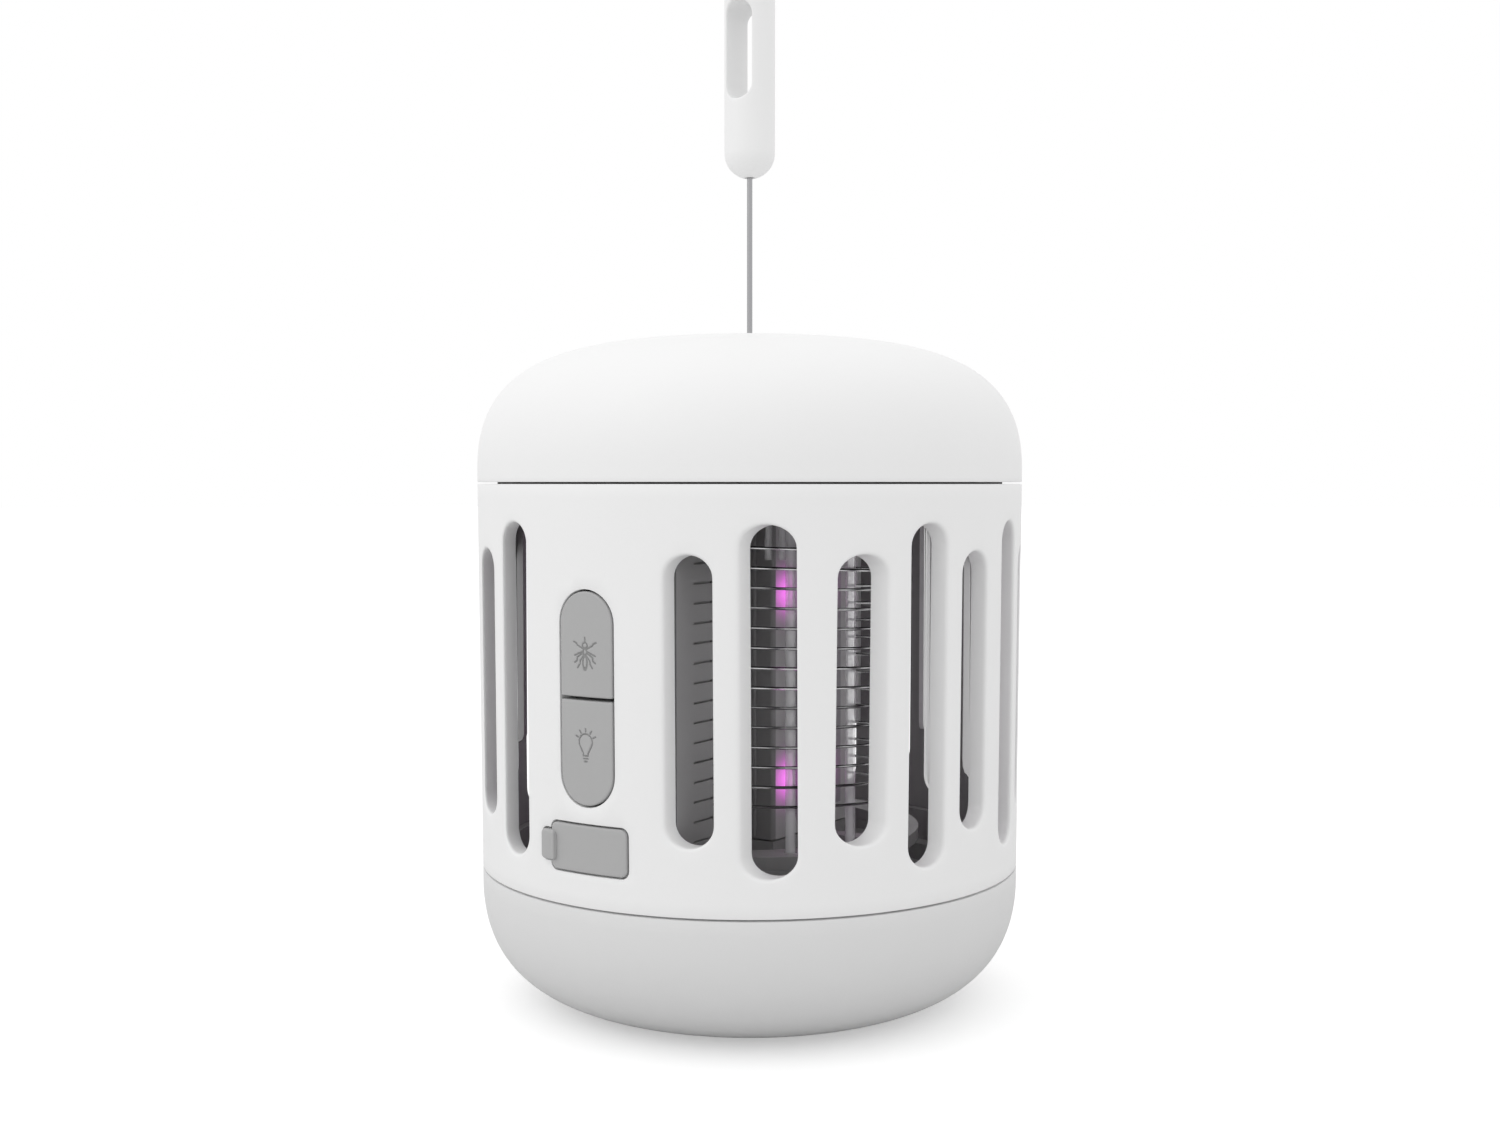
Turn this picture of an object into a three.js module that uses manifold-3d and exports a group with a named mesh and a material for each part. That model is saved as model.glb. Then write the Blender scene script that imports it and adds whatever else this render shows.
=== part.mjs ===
// Portable electric bug zapper and camping lamp.
//
// A white domed head with a slotted casing holds the battery, a column of ultraviolet lamps and two
// high-voltage coils. A frosted bowl with the insect tray and the lamp twists off underneath, and a
// steel hanger with a moulded eye swivels in the dome.
//
// Millimetres, +Z up. The origin is the centre of the flat foot, and the control panel faces -Y.
// Bearings on the round body are measured from -Y towards +X.

import * as THREE from 'three';
import { mergeVertices } from 'three/addons/utils/BufferGeometryUtils.js';
import Module from 'manifold-3d';

const wasm = await Module();
wasm.setup();

// ---------------------------------------------------------------- driving dimensions

// Overall body
const bodyRadius = 45;
const lowerSeamRadius = 44.5;
const bowlHeight = 22.2;
const casingHeight = 62.8;
const domeHeight = 23.9;
const domeShoulder = 2.55;
const domeRise = { side: 0.972, crown: 0.529 };
const footRadius = 24.75;
const bowlShoulder = 2.4;
const bowlFullness = { side: 0.859, foot: 0.286 };

// Walls and fits
const casingWall = 2.8;
const domeWall = 2.4;
const bowlWall = 2.4;
const trayWall = 1.5;
const seamGap = 0.3;
const restGap = 0.3;
const slideGap = 0.3;
const turnGap = 0.35;

// Insect slots: six on each side of the mould, long and short ones in turn round the body, and the
// panel takes the middle two places of the front
const slotOffsets = [-26, -15.95, -5.95, 5.95, 15.95, 26];
const slotWidth = 6.6;
const panelHalfWidth = 12;
const longSlotMargin = 5.95;
const shortSlotMargin = 10.3;

// Buttons
const buttonWidth = 9.4;
const buttonStack = 31.6;
const buttonDrop = 0.2;
const buttonSplit = 0.5;
const buttonProud = 0.1;
const buttonTravel = 0.8;
const buttonFlange = 0.9;
const flangeThickness = 1.2;
const stemWidth = 2.4;
const stemLength = 1.2;

// Charging port and its cover
const coverWidth = 13.8;
const coverHeight = 7;
const coverRise = 8.9;
const coverCorner = 1;
const coverSink = 1;
const coverProud = 0.25;
const plugWidth = 7.6;
const plugHeight = 2.8;
const plugDepth = 1.4;
const tabWidth = 3.05;
const tabHeight = 4.5;
const tabOverlap = 1.1;
const tabProud = 0.7;
const socketWidth = 7.5;
const socketHeight = 2.6;
const socketShell = 0.3;
const socketDepth = 5.6;

// Two high-voltage coils wound one between the other, on clear insulating rods
const wireRadius = 0.25;
const wirePitch = 3.06;
const coilRadius = 26.5;
const coilRise = 7.62;
const coilSteps = 24;
const rodRadius = 0.8;
const rodBearings = [47, 71.5, 108.5, 133, 227, 251.5, 288.5, 313];
const ringThickness = 2;
const ringMargin = 1.6;
const spokeWidth = 3;

// Ultraviolet column
const columnWidth = 24.6;
const columnWall = 1.6;
const uvBoardWidth = 14;
const uvBoardHeight = 46;
const uvBoardThickness = 1;
const uvLedSize = 3.5;
const uvLedThickness = 0.9;
const uvLedOffset = 15;
const uvLedDrop = 2.2;

// Control housing and what it holds
const housingWidth = 25;
const housingWall = 1.4;
const housingStandoff = 1.5;
const housingSlits = 15;
const slitPitch = 2.95;
const slitRise = 9.7;
const slitHeight = 0.35;
const slitDepth = 0.6;
const slitReach = 5.1;
const mainBoardWidth = 18;
const boardThickness = 1.4;
const switchSize = 5;
const switchBody = 1.8;
const switchPlunger = 0.6;
const switchPlungerRadius = 1.2;
const pinRadius = 0.8;
const pinOffset = 4;
const pinLength = 3.7;

// Head: deck, battery and high-voltage board
const ledgeWidth = 2.2;
const ledgeThickness = 1;
const deckThickness = 1.5;
const deckRimWall = 1.4;
const deckRimRise = 4.2;
const cellRadius = 9.2;
const cellLength = 65;
const saddleWidth = 22;
const saddleThickness = 2;
const saddleOffset = 22;
const highBoard = { width: 28, depth: 17, rise: 2.2, front: 13.5 };
const transformer = { left: -10, right: 1, front: 3, back: 13, height: 8 };
const capacitor = { radius: 3.2, height: 7.5, place: [8, 8] };
const postRadius = 2.8;
const postCircle = 35;
const postBearings = [60, 180, 300];
const postBoreDepth = 10;

// Screws
const screwRadius = 1.3;
const screwHeadRadius = 2.6;
const screwHeadHeight = 1;

// Twist-off base
const ledgeBelowRim = 3.05;
const bowlLedgeWidth = 1.5;
const trayDepth = 13.3;
const trayRise = 3.1;
const trayFlangeThickness = 1.3;
const traySlope = 3.5;
const twistAngle = 20;
const lugBearings = [60, 180, 300];
const lugSpan = 10;
const lugProud = 1.15;
const lugThickness = 1.2;
const lugRise = 1.8;
const lampBoardRadius = 30;
const lampBoardThickness = 1.6;
const lampLedCircle = 16;
const lampLedBearings = [45, 135, 225, 315];
const lampLedSize = 3.5;
const lampLedThickness = 0.8;
const padThickness = 0.4;
const padSpan = 8;

// Hanger
const hangerWireRadius = 0.45;
const hangerRise = 26.5;
const eyeRadius = 4.2;
const eyeLength = 35.6;
const eyeSlotWidth = 4.8;
const eyeSlotHeight = 16;
const eyeSlotStart = 12.6;
const eyeSocketDepth = 8;
const crimpRadius = 1.6;
const crimpHeight = 1;
const bushRadius = 2.2;
const bushHeight = 2.5;
const bushBossWall = 1.5;
const bossHeight = 2.9;

// Fineness of round shapes
const bodySides = 48;
const arcSteps = 3;
const smallSides = 12;

// ---------------------------------------------------------------- derived levels and radii

const lowerSeam = bowlHeight;
const upperSeam = bowlHeight + casingHeight;
const domeTop = upperSeam + domeHeight;
const draftAt = (z) => THREE.MathUtils.mapLinear(z, lowerSeam, upperSeam, lowerSeamRadius, bodyRadius);
const casingBore = lowerSeamRadius - casingWall;
const casingMiddle = (lowerSeam + upperSeam) / 2;
const buttonCentre = casingMiddle - buttonDrop;
const coverCentre = lowerSeam + coverRise;

const bossBottom = domeTop - domeWall - bossHeight;
const crimpBottom = bossBottom - slideGap - crimpHeight;
const cellCentre = crimpBottom - 2 * restGap - cellRadius;
const deckTop = cellCentre - cellRadius - restGap;
const deckBottom = deckTop - deckThickness;
const ledgeBottom = deckBottom - restGap - ledgeThickness;
const ledgeRadius = draftAt(ledgeBottom) - casingWall - ledgeWidth;
const deckRadius = draftAt(deckBottom) - casingWall - turnGap;
const postFoot = deckTop + restGap;

const spigotRadius = casingBore - turnGap;
const trayTop = lowerSeam + trayRise;
const trayFloor = trayTop - trayDepth;
const flangeBottom = lowerSeam - seamGap / 2 - ledgeBelowRim + restGap;
const lugCentre = lowerSeam + lugRise;

const frameBottom = trayTop + 2 * restGap;
const frameTop = frameBottom + ringThickness;
const ringTop = deckBottom - restGap;
const ringBottom = ringTop - ringThickness;
const rodCircle = coilRadius - wireRadius - restGap - rodRadius;
const ringOuter = coilRadius + wireRadius + ringMargin;
const ringInner = rodCircle - rodRadius - ringMargin;

const housingBack = ringOuter + housingStandoff;
const housingBottom = trayTop + restGap;
const housingTop = deckBottom - restGap;
const boardBack = housingBack + housingWall + restGap;
const boardFront = boardBack + boardThickness;
const switchFront = boardFront + restGap + switchBody;
const plungerFront = switchFront + switchPlunger;
const flangeFront = lowerSeamRadius - casingWall - slideGap - 0.3;
const socketLevel = coverCentre;
const socketHole = { width: socketWidth + 1.1, height: socketHeight + 1.2 };

const columnBottom = frameTop + restGap;
const columnTop = deckBottom - restGap;

const eyeBottom = domeTop + hangerRise;
const hangerBore = hangerWireRadius + slideGap;

// ---------------------------------------------------------------- finishes

const finishes = {
  shell: { color: 0xf0f0f0, roughness: 0.5, metalness: 0 },
  frosted: { color: 0xdcdcdc, roughness: 0.4, metalness: 0 },
  silicone: { color: 0xafafaf, roughness: 0.6, metalness: 0 },
  darkPlastic: { color: 0x5e5c60, roughness: 0.6, metalness: 0 },
  chrome: { color: 0xd5d5d8, roughness: 0.12, metalness: 1 },
  clear: { color: 0xf2f2f4, roughness: 0.05, metalness: 0 },
  steel: { color: 0x9a9a9c, roughness: 0.3, metalness: 1 },
  brass: { color: 0xc9a451, roughness: 0.35, metalness: 1 },
  circuit: { color: 0x2f5f3f, roughness: 0.5, metalness: 0 },
  whiteBoard: { color: 0xd8d6dc, roughness: 0.45, metalness: 0 },
  lamp: { color: 0xf6ecc6, roughness: 0.3, metalness: 0 },
  ultraviolet: { color: 0xe58cf2, roughness: 0.3, metalness: 0 },
  cell: { color: 0x3a6ea5, roughness: 0.4, metalness: 0 },
  component: { color: 0x2b2b2d, roughness: 0.5, metalness: 0 },
};

// ---------------------------------------------------------------- solids

const at = (r, z) => new THREE.Vector2(r, z);

/** Place on a circle, at a bearing in degrees from -Y towards +X. */
function onCircle(radius, bearing) {
  const angle = THREE.MathUtils.degToRad(bearing);
  return [radius * Math.sin(angle), -radius * Math.cos(angle)];
}

/** Closed manifold solid from any closed three.js geometry. */
function solidOf(geometry) {
  const bare = geometry.index ? geometry.toNonIndexed() : geometry;
  bare.deleteAttribute('normal');
  bare.deleteAttribute('uv');
  const merged = mergeVertices(bare, 1e-4);
  const corners = merged.index.array;
  const triangles = [];
  for (let i = 0; i < corners.length; i += 3) {
    const [a, b, c] = [corners[i], corners[i + 1], corners[i + 2]];
    if (a !== b && b !== c && c !== a) triangles.push(a, b, c);
  }
  return new wasm.Manifold(new wasm.Mesh({
    numProp: 3,
    vertProperties: new Float32Array(merged.attributes.position.array),
    triVerts: new Uint32Array(triangles),
  }));
}

/** Geometry of a manifold solid. */
function geometryOf(solid) {
  const mesh = solid.getMesh();
  const geometry = new THREE.BufferGeometry();
  geometry.setAttribute('position', new THREE.BufferAttribute(new Float32Array(mesh.vertProperties), 3));
  geometry.setIndex(new THREE.BufferAttribute(new Uint32Array(mesh.triVerts), 1));
  geometry.computeVertexNormals();
  return geometry;
}

/** Solid of revolution about Z; the profile runs anticlockwise in radius and height. */
function turned(profile, sides = bodySides) {
  const geometry = new THREE.LatheGeometry(profile, sides);
  return solidOf(geometry.rotateX(Math.PI / 2));
}

/** Ring of rectangular section. */
function ring(inner, outer, low, high, sides = bodySides) {
  return turned([at(inner, low), at(outer, low), at(outer, high), at(inner, high), at(inner, low)], sides);
}

/** Upright round bar. */
function bar(radius, low, high, [x, y] = [0, 0], sides = smallSides) {
  const geometry = new THREE.CylinderGeometry(radius, radius, high - low, sides);
  geometry.rotateX(Math.PI / 2);
  return solidOf(geometry.translate(x, y, (low + high) / 2));
}

/** Box between two opposite corners. */
function block([x0, y0, z0], [x1, y1, z1]) {
  const geometry = new THREE.BoxGeometry(x1 - x0, y1 - y0, z1 - z0);
  return solidOf(geometry.translate((x0 + x1) / 2, (y0 + y1) / 2, (z0 + z1) / 2));
}

/** Upright prism of a plan outline. */
function upright(shape, low, high) {
  const geometry = new THREE.ExtrudeGeometry(shape, {
    depth: high - low, bevelEnabled: false, curveSegments: arcSteps,
  });
  return solidOf(geometry.translate(0, 0, low));
}

/** Prism of a front outline, from one distance off the axis to another, turned to a bearing. */
function facing(shape, near, far, bearing = 0) {
  const geometry = new THREE.ExtrudeGeometry(shape, {
    depth: far - near, bevelEnabled: false, curveSegments: arcSteps,
  });
  geometry.translate(0, 0, near);
  geometry.rotateX(Math.PI / 2);
  return solidOf(geometry.rotateZ(THREE.MathUtils.degToRad(bearing)));
}

/** Sector of a ring between two bearings. */
function sector(inner, outer, from, to, low, high) {
  const [a, b] = [from - 90, to - 90].map(THREE.MathUtils.degToRad);
  const shape = new THREE.Shape();
  shape.absarc(0, 0, outer, a, b, false);
  shape.absarc(0, 0, inner, b, a, true);
  shape.closePath();
  return upright(shape, low, high);
}

/** Outline with full-round ends. */
function capsuleOutline(width, height, x, z) {
  const r = width / 2;
  const reach = height / 2 - r;
  const shape = new THREE.Shape();
  shape.absarc(x, z - reach, r, Math.PI, 2 * Math.PI, false);
  shape.absarc(x, z + reach, r, 0, Math.PI, false);
  shape.closePath();
  return shape;
}

/** Rectangular outline with round corners. */
function roundedOutline(width, height, corner, x, z) {
  const [w, h] = [width / 2 - corner, height / 2 - corner];
  const shape = new THREE.Shape();
  shape.absarc(x - w, z - h, corner, Math.PI, 1.5 * Math.PI, false);
  shape.absarc(x + w, z - h, corner, 1.5 * Math.PI, 2 * Math.PI, false);
  shape.absarc(x + w, z + h, corner, 0, 0.5 * Math.PI, false);
  shape.absarc(x - w, z + h, corner, 0.5 * Math.PI, Math.PI, false);
  shape.closePath();
  return shape;
}

/** Solid drafted plug that follows the casing's outside, pushed out or in by an amount. */
function casingPlug(offset) {
  return turned([
    at(0, lowerSeam), at(lowerSeamRadius + offset, lowerSeam),
    at(bodyRadius + offset, upperSeam), at(0, upperSeam),
  ]);
}

/** Points of a curve in the radius and height plane, moved inwards by an amount. */
function insetPoints(curve, inset, steps) {
  return Array.from({ length: steps + 1 }, (_, i) => {
    const place = curve.getPoint(i / steps);
    const along = curve.getTangent(i / steps);
    return at(Math.max(0, place.x - along.y * inset), place.y + along.x * inset);
  });
}

const group = new THREE.Group();

/** Adds one named piece to the model. */
function add(name, finish, solid, position = [0, 0, 0], turn = [0, 0, 0]) {
  const material = new THREE.MeshStandardMaterial(finishes[finish]);
  const mesh = new THREE.Mesh(solid.isBufferGeometry ? solid : geometryOf(solid), material);
  mesh.name = name;
  mesh.position.set(...position);
  mesh.rotation.set(...turn.map(THREE.MathUtils.degToRad));
  group.add(mesh);
}

// ---------------------------------------------------------------- casing

/** Mould side each insect slot is pulled from, its distance from that side's middle, and its height. */
function slotList() {
  const sides = [0, 90, 180, 270];
  return sides.flatMap((side) => slotOffsets.map((offset, i) => {
    const margin = i % 2 ? longSlotMargin : shortSlotMargin;
    return { side, offset, height: casingHeight - 2 * margin };
  })).filter(({ side, offset }) => side !== 0 || Math.abs(offset) > panelHalfWidth);
}

function slotCutter({ side, offset, height }) {
  return facing(capsuleOutline(slotWidth, height, offset, casingMiddle), bodyRadius / 2, bodyRadius + 2, side);
}

/** Recess that the port cover and its pull tab lie in. */
function coverRecess() {
  const grown = 2 * slideGap;
  const flap = roundedOutline(coverWidth + grown, coverHeight + grown, coverCorner + slideGap, 0, coverCentre);
  const tab = roundedOutline(tabWidth + grown, tabHeight + grown, coverCorner, tabCentre(), coverCentre);
  return facing(flap, bodyRadius / 2, bodyRadius + 2)
    .add(facing(tab, bodyRadius / 2, bodyRadius + 2))
    .subtract(casingPlug(-coverSink - restGap));
}

/** Bayonet track: a way in from below, then a level run to the locked place. */
function bayonetTrack(bearing) {
  const half = lugSpan / 2 + 1;
  const reach = spigotRadius + lugProud + turnGap;
  const [low, high] = [lugCentre - lugThickness / 2 - slideGap, lugCentre + lugThickness / 2 + slideGap];
  const run = sector(spigotRadius - 1, reach, bearing - half, bearing + twistAngle + half, low, high);
  const entry = sector(spigotRadius - 1, reach, bearing + twistAngle - half, bearing + twistAngle + half,
    lowerSeam - 1, high);
  return run.add(entry);
}

function casing() {
  const [foot, head] = [lowerSeam + seamGap / 2, upperSeam - seamGap / 2];
  const bore = (z) => draftAt(z) - casingWall;
  const ledgeTop = ledgeBottom + ledgeThickness;
  let shell = turned([
    at(bore(foot), foot), at(draftAt(foot), foot), at(draftAt(head), head), at(bore(head), head),
    at(bore(ledgeTop), ledgeTop), at(ledgeRadius, ledgeTop), at(ledgeRadius, ledgeBottom),
    at(bore(ledgeBottom), ledgeBottom - ledgeThickness / 2),
    at(bore(foot), foot),
  ]);
  for (const slot of slotList()) shell = shell.subtract(slotCutter(slot));
  for (const bearing of lugBearings) shell = shell.subtract(bayonetTrack(bearing));
  const buttons = capsuleOutline(buttonWidth + 2 * slideGap, buttonStack + 2 * slideGap, 0, buttonCentre);
  const port = roundedOutline(socketHole.width, socketHole.height, coverCorner, 0, socketLevel);
  return shell
    .subtract(facing(buttons, bodyRadius / 2, bodyRadius + 2))
    .subtract(facing(port, bodyRadius / 2, bodyRadius + 2))
    .subtract(coverRecess());
}

// ---------------------------------------------------------------- dome and hanger

/** Half section of the dome, solid, with its surface moved inwards by an amount. */
function domeSolid(inset, foot) {
  const start = upperSeam + domeShoulder;
  const curve = new THREE.CubicBezierCurve(
    at(bodyRadius, start), at(bodyRadius, start + domeRise.side * (domeTop - start)),
    at(domeRise.crown * bodyRadius, domeTop), at(0, domeTop),
  );
  return turned([at(0, foot), at(bodyRadius - inset, foot), ...insetPoints(curve, inset, 7)]);
}

function domeCover() {
  const foot = upperSeam + seamGap / 2;
  let dome = domeSolid(0, foot).subtract(domeSolid(domeWall, foot - 1));
  const inside = domeSolid(domeWall / 2, foot);
  const additions = [bar(bushRadius + restGap + bushBossWall, bossBottom, domeTop, [0, 0], 24)];
  for (const bearing of postBearings) {
    additions.push(bar(postRadius, postFoot, domeTop, onCircle(postCircle, bearing)));
  }
  for (const piece of additions) dome = dome.add(piece.intersect(inside));
  for (const bearing of postBearings) {
    const bore = screwRadius + restGap;
    dome = dome.subtract(bar(bore, postFoot - 1, postFoot + postBoreDepth, onCircle(postCircle, bearing)));
  }
  return dome
    .subtract(bar(bushRadius + restGap, bossBottom - 1, bossBottom + bushHeight + restGap, [0, 0], 24))
    .subtract(bar(hangerBore, bossBottom, domeTop + 1));
}

function hangerEye() {
  const tip = eyeBottom + eyeLength;
  const arc = (centre, from, to) => Array.from({ length: 6 }, (_, i) => {
    const angle = THREE.MathUtils.degToRad(from + (to - from) * i / 5);
    return at(Math.max(0, eyeRadius * Math.cos(angle)), centre + eyeRadius * Math.sin(angle));
  });
  const profile = [...arc(eyeBottom + eyeRadius, -90, 0), ...arc(tip - eyeRadius, 0, 90)];
  const middle = eyeBottom + eyeSlotStart + eyeSlotHeight / 2;
  return turned(profile, 16)
    .subtract(facing(capsuleOutline(eyeSlotWidth, eyeSlotHeight, 0, middle), -eyeRadius - 1, eyeRadius + 1))
    .subtract(bar(hangerBore, eyeBottom - 1, eyeBottom + eyeSocketDepth));
}

// ---------------------------------------------------------------- buttons and port cover

/** Upper or lower half of the capsule, with a retaining flange and a stem behind the wall. */
function button(upper) {
  const half = (width, height, near, far) => {
    const whole = facing(capsuleOutline(width, height, 0, buttonCentre), near, far);
    const split = buttonCentre + (upper ? buttonSplit : -buttonSplit) / 2;
    const reach = buttonStack;
    const keep = upper ? [split, split + reach] : [split - reach, split];
    return whole.intersect(block([-reach, -bodyRadius - 2, keep[0]], [reach, 0, keep[1]]));
  };
  const flangeBack = flangeFront - flangeThickness;
  const level = buttonCentre + (upper ? 1 : -1) * buttonStack / 4;
  const stem = stemWidth / 2;
  return half(buttonWidth, buttonStack, flangeBack, bodyRadius + 1).intersect(casingPlug(buttonProud))
    .add(half(buttonWidth + 2 * buttonFlange, buttonStack + 2 * buttonFlange, flangeBack, flangeFront))
    .add(block([-stem, -flangeBack - 0.2, level - stem], [stem, -flangeBack + stemLength, level + stem]));
}

function tabCentre() {
  return -coverWidth / 2 + tabOverlap - tabWidth / 2;
}

/** Silicone cover: a flap that follows the casing, a pull tab and a plug for the socket hole. */
function portCover() {
  const flap = roundedOutline(coverWidth, coverHeight, coverCorner, 0, coverCentre);
  const tab = roundedOutline(tabWidth, tabHeight, coverCorner * 0.7, tabCentre(), coverCentre);
  const plug = roundedOutline(plugWidth, plugHeight, coverCorner * 0.7, 0, socketLevel);
  const surface = draftAt(coverCentre);
  return facing(flap, bodyRadius / 2, bodyRadius + 2).intersect(casingPlug(coverProud))
    .add(facing(tab, bodyRadius / 2, bodyRadius + 2).intersect(casingPlug(tabProud)))
    .subtract(casingPlug(-coverSink))
    .add(facing(plug, surface - coverSink - plugDepth, surface - coverSink / 2));
}

// ---------------------------------------------------------------- control housing

function controlHousing() {
  const half = housingWidth / 2;
  const front = Math.sqrt((casingBore - restGap - 0.1) ** 2 - half ** 2);
  const inner = half - housingWall;
  let housing = block([-half, -front, housingBottom], [half, -housingBack, housingTop])
    .subtract(block([-inner, -front - 1, housingBottom + housingWall],
      [inner, -housingBack - housingWall, housingTop + 1]));
  for (let i = 0; i < housingSlits; i += 1) {
    const level = lowerSeam + slitRise + i * slitPitch;
    for (const side of [-1, 1]) {
      const [a, b] = [side * (half - slitDepth), side * (half + 1)].sort((p, q) => p - q);
      housing = housing.subtract(block([a, -housingBack - slitReach, level - slitHeight / 2],
        [b, -housingBack + 1, level + slitHeight / 2]));
    }
  }
  for (const x of [-pinOffset, pinOffset]) {
    const place = [x, -(boardFront + pinRadius + restGap)];
    housing = housing.subtract(bar(pinRadius + restGap, housingBottom - 1, housingBottom + housingWall + 1, place));
  }
  const notch = ring(ledgeRadius - restGap, bodyRadius, ledgeBottom - ledgeThickness, housingTop + 1);
  return housing.subtract(notch);
}

function tactSwitch(level) {
  const half = switchSize / 2;
  const plunger = new THREE.Shape().absarc(0, level, switchPlungerRadius, 0, 2 * Math.PI, false);
  return block([-half, -switchFront, level - half], [half, -boardFront - restGap, level + half])
    .add(facing(plunger, switchFront - 0.2, plungerFront));
}

/** Charging socket: a thin open shell with a tongue. */
function chargingSocket() {
  const [w, h] = [socketWidth / 2, socketHeight / 2];
  const [back, front] = [boardFront + restGap, boardFront + restGap + socketDepth];
  const [iw, ih] = [w - socketShell, h - socketShell];
  return block([-w, -front, socketLevel - h], [w, -back, socketLevel + h])
    .subtract(block([-iw, -front - 1, socketLevel - ih], [iw, -back - 1, socketLevel + ih]))
    .add(block([-iw + 1, -front + 0.6, socketLevel - 0.3], [iw - 1, -back - 0.5, socketLevel + 0.3]));
}

// ---------------------------------------------------------------- grid

class Helix extends THREE.Curve {
  constructor(radius, start, turns) {
    super();
    Object.assign(this, { radius, start, turns });
  }

  getPoint(t) {
    const [x, y] = onCircle(this.radius, 360 * this.turns * t);
    return new THREE.Vector3(x, y, this.start + 2 * wirePitch * this.turns * t);
  }
}

/** One electrode: a wire of square section wound at twice the wire pitch, in whole quarter turns. */
function coil(start) {
  const turns = Math.floor(4 * (ringBottom - restGap - wireRadius - start) / (2 * wirePitch)) / 4;
  const shape = new THREE.Shape();
  const half = wireRadius * 0.9;
  shape.moveTo(-half, -half).lineTo(half, -half).lineTo(half, half).lineTo(-half, half).closePath();
  const path = new Helix(coilRadius, start, turns);
  return solidOf(new THREE.ExtrudeGeometry(shape, {
    steps: Math.round(coilSteps * turns), bevelEnabled: false, extrudePath: path,
  }));
}

function rodPlaces() {
  return rodBearings.map((bearing) => onCircle(rodCircle, bearing));
}

/** Insulating ring with a socket for each rod. */
function gridRing(low, high) {
  let body = ring(ringInner, ringOuter, low, high);
  for (const place of rodPlaces()) {
    body = body.subtract(bar(rodRadius + restGap, low - 1, high + 1, place, 8));
  }
  return body;
}

/** Lower ring with four spokes and the seat of the column. */
function gridFrame() {
  const half = columnWidth / 2;
  const spoke = spokeWidth / 2;
  const reach = ringInner + ringMargin / 2;
  return gridRing(frameBottom, frameTop)
    .add(block([-half, -half, frameBottom], [half, half, frameTop]))
    .add(block([-reach, -spoke, frameBottom], [reach, spoke, frameTop]))
    .add(block([-spoke, -reach, frameBottom], [spoke, reach, frameTop]))
    .subtract(bar(screwRadius + restGap, frameBottom - 1, frameTop + 1));
}

/** Hollow square column that carries the ultraviolet boards; its foot takes a screw. */
function ledColumn() {
  const [outer, inner] = [columnWidth / 2, columnWidth / 2 - columnWall];
  return block([-outer, -outer, columnBottom], [outer, outer, columnTop])
    .subtract(block([-inner, -inner, columnBottom + columnWall], [inner, inner, columnTop + 1]))
    .add(bar(screwRadius + restGap + columnWall, columnBottom, columnBottom + postBoreDepth))
    .subtract(bar(screwRadius + restGap, columnBottom - 1, columnBottom + postBoreDepth + 1));
}

function addColumnLamps() {
  const sides = { left: -90, right: 90, rear: 180 };
  const boardMiddle = (columnBottom + columnTop) / 2;
  for (const [side, bearing] of Object.entries(sides)) {
    const boardAt = columnWidth / 2 + restGap + uvBoardThickness / 2;
    const ledAt = boardAt + uvBoardThickness / 2 + restGap + uvLedThickness / 2;
    const board = new THREE.BoxGeometry(uvBoardWidth, uvBoardThickness, uvBoardHeight);
    add(`uv_board_${side}`, 'whiteBoard', board, [...onCircle(boardAt, bearing), boardMiddle], [0, 0, bearing]);
    for (const [level, rise] of [['lower', -uvLedOffset], ['upper', uvLedOffset]]) {
      const led = new THREE.BoxGeometry(uvLedSize, uvLedThickness, uvLedSize);
      const place = [...onCircle(ledAt, bearing), boardMiddle - uvLedDrop + rise];
      add(`uv_led_${side}_${level}`, 'ultraviolet', led, place, [0, 0, bearing]);
    }
  }
}

// ---------------------------------------------------------------- head

/** Deck under the dome: plate, centring rim, two battery saddles and four board pillars. */
function batteryDeck() {
  const rim = [deckTop, deckTop + deckRimRise];
  let deck = bar(deckRadius, deckBottom, deckTop, [0, 0], bodySides)
    .add(ring(deckRadius - deckRimWall, deckRadius, rim[0] - 0.2, rim[1]));
  const cellSpace = new THREE.CylinderGeometry(cellRadius + restGap, cellRadius + restGap, cellLength + 2, 24)
    .rotateZ(Math.PI / 2).translate(0, 0, cellCentre);
  const half = { x: saddleThickness / 2, y: saddleWidth / 2 };
  for (const x of [-saddleOffset, saddleOffset]) {
    deck = deck.add(block([x - half.x, -half.y, deckTop - 0.2], [x + half.x, half.y, cellCentre - cellRadius / 2]));
  }
  deck = deck.subtract(solidOf(cellSpace));
  for (const place of highBoardCorners()) {
    deck = deck.add(bar(1.5, deckTop - 0.2, deckTop + highBoard.rise - restGap, place));
  }
  for (const bearing of postBearings) {
    const place = onCircle(postCircle, bearing);
    deck = deck.subtract(bar(screwRadius + restGap, deckBottom - 1, deckTop + 1, place));
  }
  return deck.subtract(block([-4, -boardFront, deckBottom - 1], [4, -boardBack + 1, deckTop + 1]));
}

function highBoardCorners() {
  const { width, depth, front } = highBoard;
  return [-1, 1].flatMap((side) => [front + 2.5, front + depth - 2.5].map((y) => [side * (width / 2 - 2.5), y]));
}

/** Pan-head screw; its head hangs below the given level and its shank rises above it. */
function screw(level, length, [x, y]) {
  return bar(screwHeadRadius, level - screwHeadHeight, level, [x, y])
    .add(bar(screwRadius, level - screwHeadHeight / 2, level + length, [x, y], 8));
}

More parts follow.
